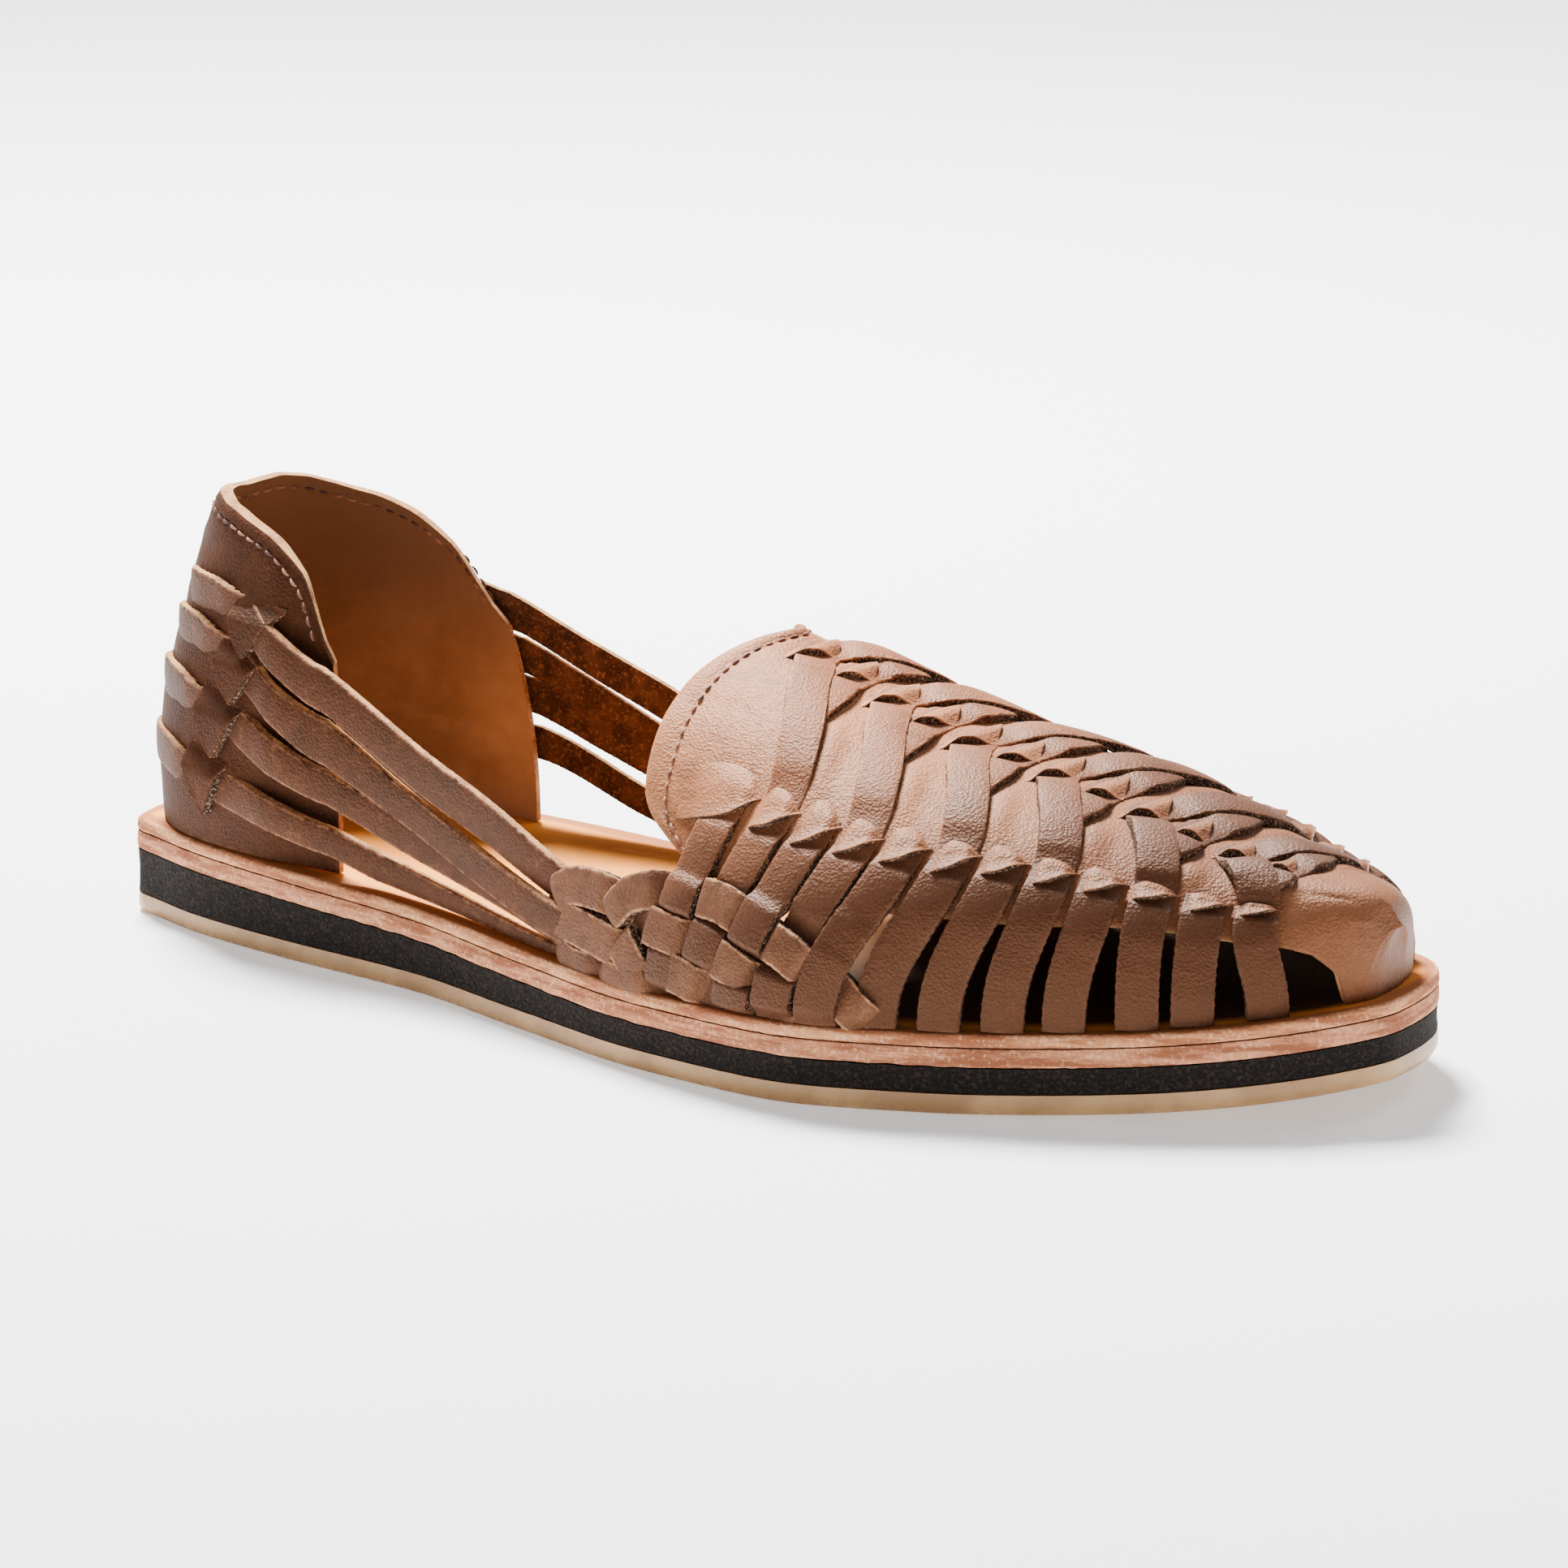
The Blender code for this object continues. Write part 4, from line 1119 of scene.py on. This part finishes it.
    def tiles(self) -> None:
        """Three rows of slit tiles, one with the base leather at their rear and their upper side.

        Low and high are the girths of a side tile's two sides. Both close on each other at its front.

        Over its length u and breadth v a side tile stands 1.8 - 2.1 v^2 mm high above and
        1.8 + 1.1 v^2 mm below, where the strap comes out from under it; both its ends are low.
        """
        rear = np.linspace(0, 1, 26)[:, None]
        place = np.sin(np.linspace(-1, 1, 17) * np.pi / 2)[None, :]
        drop = np.where(np.abs(place) > 0.999, 0.25, 0.0) + np.where(np.abs(place) > 0.97, 0.08, 0.0)
        over = 1.8 + np.where(place < 0, 1.1, -2.1) * place**2
        side_up = over * ease(rear, -0.02, 0.34) * (1 - 0.85 * ease(rear, 0.66, 1.0))
        side_up = side_up - 0.15 - drop * (rear > 0.05)
        spine_up = (1.9 + np.where(place < 0, 0.8, 0.1) * place**2) * ease(rear, 0.0, 0.42)
        spine_up = spine_up * (1 - 0.88 * ease(rear, 0.55, 1.0)) + 0.06 - drop * (rear > 0.05)
        for name, side in (("tiles_outer_row", -1), ("tiles_inner_row", 1), ("tiles_spine_row", 0)):
            hide = Hide()
            for number in range(1, self.count + 1):
                # No two tiles are cut quite alike
                wave = 0.03 * np.sin(number * 2.4)
                if side:
                    low = 0.562 + wave * 0.3 - (0.088 + wave * 0.3) * rear + 0.020 * np.sin(np.pi * rear)
                    high = 0.420 + 0.054 * rear - 0.030 * np.sin(np.pi * rear)
                    girth = side * ((low + high) / 2 - place * (low - high) / 2 * (1 - rear**8))
                    back = -0.50 + wave + 0.03 * place
                    strap = number + back + (0.52 - back) * rear
                    # The first tile is one with the saddle, and lower
                    up = side_up * (0.75 if number == 1 else 1.0)
                else:
                    girth = place * (0.098 * (1 - rear) ** 1.2 + 0.016) * (1 - rear**6)
                    strap = number - 0.30 + (0.76 + wave) * rear + 0 * place
                    up = spine_up
                outer, normal = self.lay(*np.broadcast_arrays(strap, girth), up * MM)
                hide.shell(outer, outer - normal * self.tile, side > 0)
            hide.piece(name, "vamp", (GRAIN_VAMP, CUT_DARK, FLESH_SHADED))

    def braids(self) -> None:
        """The plain weave low at each side: strips given by rows of strap number, girth and height in mm."""
        strips = (
            ((-0.55, 0.885, 0.8), (-0.25, 0.835, 2.6), (0.05, 0.785, 3.4), (0.50, 0.757, 2.4),
             (1.0, 0.745, 0.7), (2.0, 0.748, 3.5), (3.0, 0.79, 0.7), (3.98, 0.833, 3.5), (4.9, 0.90, 0.8),
             (5.55, 0.965, 2.3), (5.8, 1.0, 1.4)),
            ((-2.25, 0.885, 0.8), (-1.90, 0.845, 2.4), (-1.35, 0.808, 3.4), (-0.65, 0.800, 2.6),
             (0.1, 0.825, 0.7), (1.0, 0.848, 3.5), (1.98, 0.863, 0.7), (2.78, 0.89, 3.5), (3.7, 0.94, 0.8),
             (4.4, 1.0, 1.6)),
            ((-2.1, 0.885, 1.2), (-1.4, 0.898, 3.3), (-0.7, 0.905, 3.5), (-0.05, 0.915, 2.2),
             (0.45, 0.925, 0.6), (0.95, 0.932, 0.8), (1.65, 0.943, 3.5), (2.3, 0.972, 1.0), (2.75, 1.0, 1.4)),
            ((-2.2, 0.925, 0.6), (-1.75, 0.965, 2.0), (-1.15, 0.985, 3.0), (-0.6, 0.980, 2.0),
             (-0.25, 0.955, 0.6)),
            ((-0.75, 0.945, 0.6), (-0.35, 0.975, 2.2), (0.2, 0.990, 3.0), (0.7, 0.985, 2.2),
             (1.0, 0.965, 0.6)),
            ((-0.25, 0.860, 0.6), (0.10, 0.900, 2.6), (0.38, 0.938, 3.5), (0.60, 0.970, 1.8),
             (0.75, 1.0, 1.2)),
        )
        for side, name in ((-1, "braid_outer"), (1, "braid_inner")):
            hide = Hide()
            for number, rows in enumerate(strips):
                table = np.array(rows)
                run = run_along(table[:, :2] * (1, 6))
                at = np.linspace(0, run[-1], 110)
                strap, girth, lift = (smooth(run, table[:, k], at) for k in range(3))
                lift = crisp(lift)
                centre, normal = self.lay(strap, side * girth, lift * MM)
                share = 0.94 - 0.28 * (number in (3, 4))
                width = self.width * share * (0.55 + 0.45 * ease(at / run[-1], 0, 0.08))
                hide.shell(*strip(centre, normal, width, self.thick, number + side * 2.0, 0.22 * MM))
            hide.piece(name, "vamp", (GRAIN_BRAID, CUT_DARK, FLESH_SHADED))

    def sewing(self) -> None:
        """The stitch line along the saddle's edge."""
        girth = np.linspace(-self.stitch_end, self.stitch_end, 200)
        strap = np.full(girth.shape, self.stitch_row)
        path, normal = self.lay(strap, girth, np.full(girth.shape, -0.05 * MM))
        path[..., 0] += self.corner(strap, girth)
        Stitches().build("saddle_stitches", path, normal, "vamp", "vamp")

    def build(self) -> None:
        """Makes all the vamp's pieces."""
        self.base()
        self.cross_straps()
        self.tiles()
        self.braids()
        self.sewing()


@dataclass
class Counter:
    """The lined heel counter with its slits, wrapped straps, tab columns and stitched rim."""

    last: Last
    lining: float = 3.0 * MM
    seam: float = 3.0 * MM
    wrap_width: float = 8.0 * MM
    tab: float = 1.7 * MM
    puff: float = 1.3 * MM
    # Middle heights in mm of the four strap rows, and how far each puffs up and down
    row_heights: tuple = (50.5, 40.5, 29.0, 15.0)
    row_half: float = 3.5
    # Places round the side and heights in mm: upper rear corner, upper front corner and point of each tab
    tabs: tuple = ((0.747, 52.5, 0.920, 51.5, 0.812, 41.3), (0.700, 44.0, 0.880, 41.8, 0.787, 31.2),
                   (0.650, 33.5, 0.832, 31.2, 0.735, 19.2), (0.612, 20.8, 0.782, 18.6, 0.708, 6.8))
    # Wrapped straps in the windows: rear end, its height in mm, middle height, front end, its height
    wraps: tuple = ((0.36, 51.6, 51.6, 0.800, 49.2), (0.27, 43.0, 43.2, 0.730, 40.2),
                    (0.23, 31.6, 31.2, 0.680, 27.6), (0.20, 17.2, 16.6, 0.640, 13.2))

    def rim(self, around: Array) -> Array:
        """Height of the rim round the heel, slightly wavy."""
        table = smooth((0, 0.35, 0.60, 0.84, 0.95, 1.0), (1.0, 1.01, 0.985, 0.94, 0.85, 0.62), np.abs(around))
        return self.last.counter * table + 0.35 * MM * ripple(around * 6, 1.0)

    def wall(self) -> None:
        """The counter's wall, puffed between the strap rows, with a rounded raw rim."""
        around = np.sign(np.linspace(-1, 1, 181)) * np.abs(np.linspace(-1, 1, 181)) ** 0.9
        share = np.concatenate([np.linspace(0, 0.96, 60), [0.975, 0.99, 1.0]])
        height = self.rim(around)[:, None] * share
        size = np.abs(around)[:, None]
        rows = sum(bell(height / MM, level, self.row_half) for level in self.row_heights)
        band = bell(size, 0.0, 0.20) + bell(size, 0.78, 0.05)
        lift = self.puff * rows * np.clip(band, 0, 1) - 1.6 * MM * ease(size, 0.86, 1.0)
        lift -= 0.30 * MM * bell(self.rim(around)[:, None] - height, self.seam, 0.7 * MM)
        lift += self.creases(around[:, None], height / MM)
        lift -= 0.5 * MM * ease(share, 0.97, 1.0)
        outer = self.last.heel(around[:, None], height, lift)
        inner = self.last.heel(around[:, None], height + 0 * size, -self.lining)
        inner[:, -1] -= 0.2 * MM * np.array([0, 0, 1.0])
        hide = Hide()
        hide.shell(outer, inner, True)
        hide.piece("counter_wall", "heel_counter", (GRAIN_COUNTER, CUT_PALE, LINING), 50.0)

    def creases(self, around: Array, height: Array) -> Array:
        """Soft troughs: Gaussian across and along, heights in mm."""
        rows = ((-0.95, 46, 0.03, 9, -0.4), (-0.45, 60, 0.12, 2.0, -0.35), (0.3, 58, 0.15, 2.2, -0.35),
                (-0.2, 62, 0.08, 2, 0.3), (-0.9, 12, 0.04, 6, -0.3), (0.9, 30, 0.05, 8, -0.35),
                (0.0, 8, 0.3, 3, -0.3))
        total = np.zeros(np.broadcast_shapes(around.shape, height.shape))
        for place, level, wide, tall, depth in rows:
            total += depth * MM * bell(around, place, wide) * bell(height, level, tall)
        return total

    def wrapped(self) -> None:
        """Straps that show in the windows, rising out of one slit and into the next."""
        hide = Hide()
        for side in (-1, 1):
            for number, (start, first, middle, end, last) in enumerate(self.wraps):
                share = np.linspace(0, 1, 70)
                around = side * (start + (end - start) * share)
                height = smooth((0, 0.5, 1.0), (first, middle, last), share) * MM
                lift = smooth((0, 0.06, 0.16, 0.72, 0.88, 1.0), (-0.9, 0.1, 0.6, 0.6, -0.2, -1.0), share) * MM
                thick = np.where(share[:, None, None] > 0.8, 0.8, 1.6) * MM
                centre = self.last.heel(around, height, lift)
                normal = unit(self.last.heel(around, height, lift + MM) - centre)
                hide.shell(*strip(centre, normal, self.wrap_width, thick, number + side, 0.25 * MM))
        hide.piece("wrapped_straps", "heel_counter", (GRAIN_SIDE, CUT_PALE, FLESH))

    def tab_columns(self) -> None:
        """The pointed tabs down each side: top edge one with the wall, the point over the next strap."""
        down = np.linspace(0, 1, 26)[:, None]
        place = np.sin(np.linspace(-1, 1, 15) * np.pi / 2)[None, :]
        drop = np.where(np.abs(place) > 0.999, 0.25, 0.0)
        lift = (2.9 + 0.2 * place**2) * ease(down, 0.0, 0.40) * (1 - 0.25 * down**3)
        lift = (lift + 0.05 - drop * (down > 0.05)) * MM
        hide = Hide()
        for side in (-1, 1):
            for rear, rear_high, front, front_high, point, low in self.tabs:
                rear_way = rear + (point - 0.01 - rear) * down**1.4
                front_way = front + (point + 0.01 - front) * down
                half = place * (front_way - rear_way) / 2 * (1 - down**8 * 0.9)
                around = side * ((rear_way + front_way) / 2 + half)
                top = (rear_high + front_high) / 2 + place * (front_high - rear_high) / 2 + 1.0
                height = (top + (low - top) * down) * MM
                outer, inner = (self.last.heel(around, height, lift - depth) for depth in (0, self.tab))
                hide.shell(outer, inner, side > 0)
        hide.piece("tab_columns", "heel_counter", (GRAIN_COUNTER, CUT_DARK, FLESH))

    def sewing(self) -> None:
        """The stitch line under the rim, outside and in."""
        around = np.linspace(-0.985, 0.985, 300)
        height = self.rim(around) - self.seam
        for name, lift, way in (("rim_stitches", 0.0, 1), ("lining_stitches", -self.lining - 0.1 * MM, -1)):
            path = self.last.heel(around, height, lift)
            normal = way * unit(self.last.heel(around, height, lift + MM) - path)
            Stitches().build(name, path, normal, "heel_counter", "heel_counter")

    def build(self) -> None:
        """Makes the counter's pieces."""
        self.wall()
        self.wrapped()
        self.tab_columns()
        self.sewing()


@dataclass
class SideStraps:
    """Four straps of one side, from the tab column to the braid."""

    last: Last
    side: Side
    node: str
    # For each strap, rows of share, upper height, lower height and lift in mm
    rows: tuple
    thick: float = 1.6

    def build(self) -> None:
        """Lays each strap between its upper and lower height: height + crown * (1 - v^2) - ease across it."""
        place = ACROSS[None, :]
        way = self.side.value
        hide = Hide()
        for number, rows in enumerate(self.rows):
            table = np.array(rows)
            share = np.linspace(table[0, 0], table[-1, 0], 180)[:, None]
            high, low, lift = (smooth(table[:, 0], table[:, k], share) for k in (1, 2, 3))
            ragged = 0.10 * ripple(share * 520 + number * 7, number) * np.abs(place) ** 8 * np.sign(place)
            height = (high + low) / 2 + place * (high - low) / 2 + ragged
            rise = lift + 0.35 * (1 - place**2) - EASED
            outer = self.last.flank(way, share, height * MM, rise * MM)
            inner = self.last.flank(way, share, height * MM, (lift - self.thick) * MM)
            hide.shell(outer, inner, way > 0)
        hide.piece(self.node + "_ribbons", self.node, (GRAIN_SIDE, CUT_PALE, FLESH))


OUTER_ROWS = (
    ((-0.05, 52.6, 44.6, 0.4), (0, 51.0, 43.0, 1.6), (0.08, 48.4, 40.0, 2.8), (0.20, 43.2, 34.2, 2.8),
     (0.47, 32.2, 23.0, 2.2), (0.75, 25.4, 16.6, 2.0), (0.92, 19.6, 11.6, 1.0), (1.0, 16.8, 9.2, 0.2),
     (1.10, 13.8, 6.6, -1.0)),
    ((-0.08, 43.4, 35.2, 0.4), (0, 41.0, 33.0, 1.6), (0.08, 37.6, 29.4, 2.8), (0.20, 32.8, 23.4, 2.8),
     (0.43, 23.0, 15.4, 2.4), (0.72, 16.0, 8.4, 3.4), (0.92, 12.0, 4.6, 3.6), (1.0, 10.6, 3.4, 3.2),
     (1.08, 9.4, 2.4, 2.4)),
    ((-0.12, 32.2, 24.4, 0.4), (0, 29.0, 21.0, 1.6), (0.08, 26.6, 18.8, 2.8), (0.20, 22.4, 15.2, 2.6),
     (0.425, 16.4, 9.4, 1.9), (0.83, 9.8, 4.4, 1.8), (1.0, 7.0, 1.6, 1.6), (1.08, 6.0, 1.0, 1.2)),
    ((-0.17, 17.8, 9.4, 0.4), (-0.04, 15.8, 8.4, 1.6), (0.08, 13.6, 6.8, 2.6), (0.20, 10.8, 4.6, 2.4),
     (0.35, 7.6, 1.6, 1.8), (0.60, 4.8, 0.6, 1.8), (0.80, 3.2, 0.2, 1.8), (1.0, 2.0, 0.1, 1.8)),
)
INNER_ROWS = (
    ((-0.05, 54.6, 46.0, 0.4), (0.08, 52.4, 43.8, 2.4), (0.20, 49.6, 40.8, 2.2), (0.40, 42.4, 33.8, 1.9),
     (0.65, 34.4, 26.0, 1.9), (1.0, 22.0, 13.6, 1.2), (1.10, 18.6, 10.4, 0.2)),
    ((-0.08, 45.4, 37.2, 0.4), (0.08, 42.6, 34.4, 2.4), (0.20, 39.6, 31.4, 2.2), (0.40, 32.8, 24.6, 1.9),
     (0.60, 26.0, 18.2, 2.0), (1.0, 14.4, 6.8, 1.8), (1.10, 12.0, 4.8, 1.2)),
    ((-0.12, 35.2, 27.0, 0.4), (0.08, 32.8, 24.8, 2.4), (0.20, 30.8, 22.8, 2.2), (0.40, 25.6, 17.8, 1.9),
     (0.57, 21.2, 13.8, 1.9), (1.0, 10.0, 3.6, 1.8), (1.08, 8.4, 2.4, 1.4)),
    ((-0.17, 23.6, 15.0, 0.4), (0.08, 21.4, 13.8, 2.2), (0.22, 19.8, 12.6, 2.0), (0.52, 12.0, 5.6, 1.8),
     (0.80, 6.0, 1.2, 1.8), (1.0, 3.4, 0.1, 1.8)),
)


@dataclass
class Set:
    """Camera, lights and floor.

    Attributes:
        turn, rise: Angles of view in degrees, round from the outer side and up.
        distance: From the camera to the origin.
        lens: Focal length in mm.
        aim: How far right and up of the origin the camera looks, over the distance.
        lamps: Name, place, size and power of each.
        sky: Strength of the world's light.
        reach: Half the floor's side.
    """

    turn: float = 34.23
    rise: float = 15.86
    distance: float = 1.570
    lens: float = 176.1
    aim: tuple = (0.00512, 0.02816)
    lamps: tuple = (("key", (-0.60, 0.45, 1.30), 0.42, 150.0), ("fill", (0.9, -1.3, 0.8), 1.2, 2.5),
                    ("rim", (0.5, 1.2, 1.1), 0.9, 9.0))
    sky: float = 0.24
    reach: float = 4.0

    def camera(self) -> None:
        """Camera at the angle of view of the picture, aimed at the middle of the one shoe."""
        a, e = np.radians(self.turn), np.radians(self.rise)
        right = Vector((np.cos(a), np.sin(a), 0))
        ahead = Vector((-np.sin(a) * np.cos(e), np.cos(a) * np.cos(e), -np.sin(e)))
        up = Vector((-np.sin(a) * np.sin(e), np.cos(a) * np.sin(e), np.cos(e)))
        aim = (ahead + right * self.aim[0] + up * self.aim[1]).normalized()
        side = aim.cross(up).normalized()
        top = side.cross(aim)
        data = bpy.data.cameras.new("camera")
        data.lens = self.lens
        data.sensor_width = 36.0
        made = bpy.data.objects.new("camera", data)
        place = ahead * -self.distance
        made.matrix_world = Matrix.Translation(place) @ Matrix((side, top, -aim)).transposed().to_4x4()
        bpy.context.scene.collection.objects.link(made)
        bpy.context.scene.camera = made

    def lamp(self, name: str, place: tuple, size: float, power: float) -> None:
        """A soft square lamp that faces the shoe."""
        data = bpy.data.lights.new(name, "AREA")
        data.shape = "SQUARE"
        data.size = size
        data.energy = power
        made = bpy.data.objects.new(name, data)
        way = Vector((0.0, 0.0, 0.03)) - Vector(place)
        made.rotation_euler = way.to_track_quat("-Z", "Y").to_euler()
        made.location = place
        bpy.context.scene.collection.objects.link(made)

    def build(self) -> None:
        """Makes floor, world light, three lamps and the camera."""
        self.camera()
        edge = np.linspace(-self.reach, self.reach, 9)
        points = np.stack([*np.meshgrid(edge, edge, indexing="ij"), np.zeros((9, 9))], -1).reshape(-1, 3)
        floor = add_mesh("floor", points, squares(9, 9, 0, False), np.zeros(64), [Studio()], 30.0)
        world = bpy.data.worlds.new("studio")
        world.use_nodes = True
        world.node_tree.nodes["Background"].inputs[0].default_value = NEUTRAL
        world.node_tree.nodes["Background"].inputs[1].default_value = self.sky
        bpy.context.scene.world = world
        for row in self.lamps:
            self.lamp(*row)


def main() -> None:
    """Builds every sub-assembly in order."""
    logging.basicConfig(level=logging.INFO, format="%(name)s %(message)s")
    last = Last()
    Set().build()
    Sole(last).build()
    Vamp(last).build()
    Counter(last).build()
    SideStraps(last, Side.OUTER, "lateral_side_straps", OUTER_ROWS).build()
    SideStraps(last, Side.INNER, "medial_side_straps", INNER_ROWS).build()


if __name__ == "__main__":
    main()
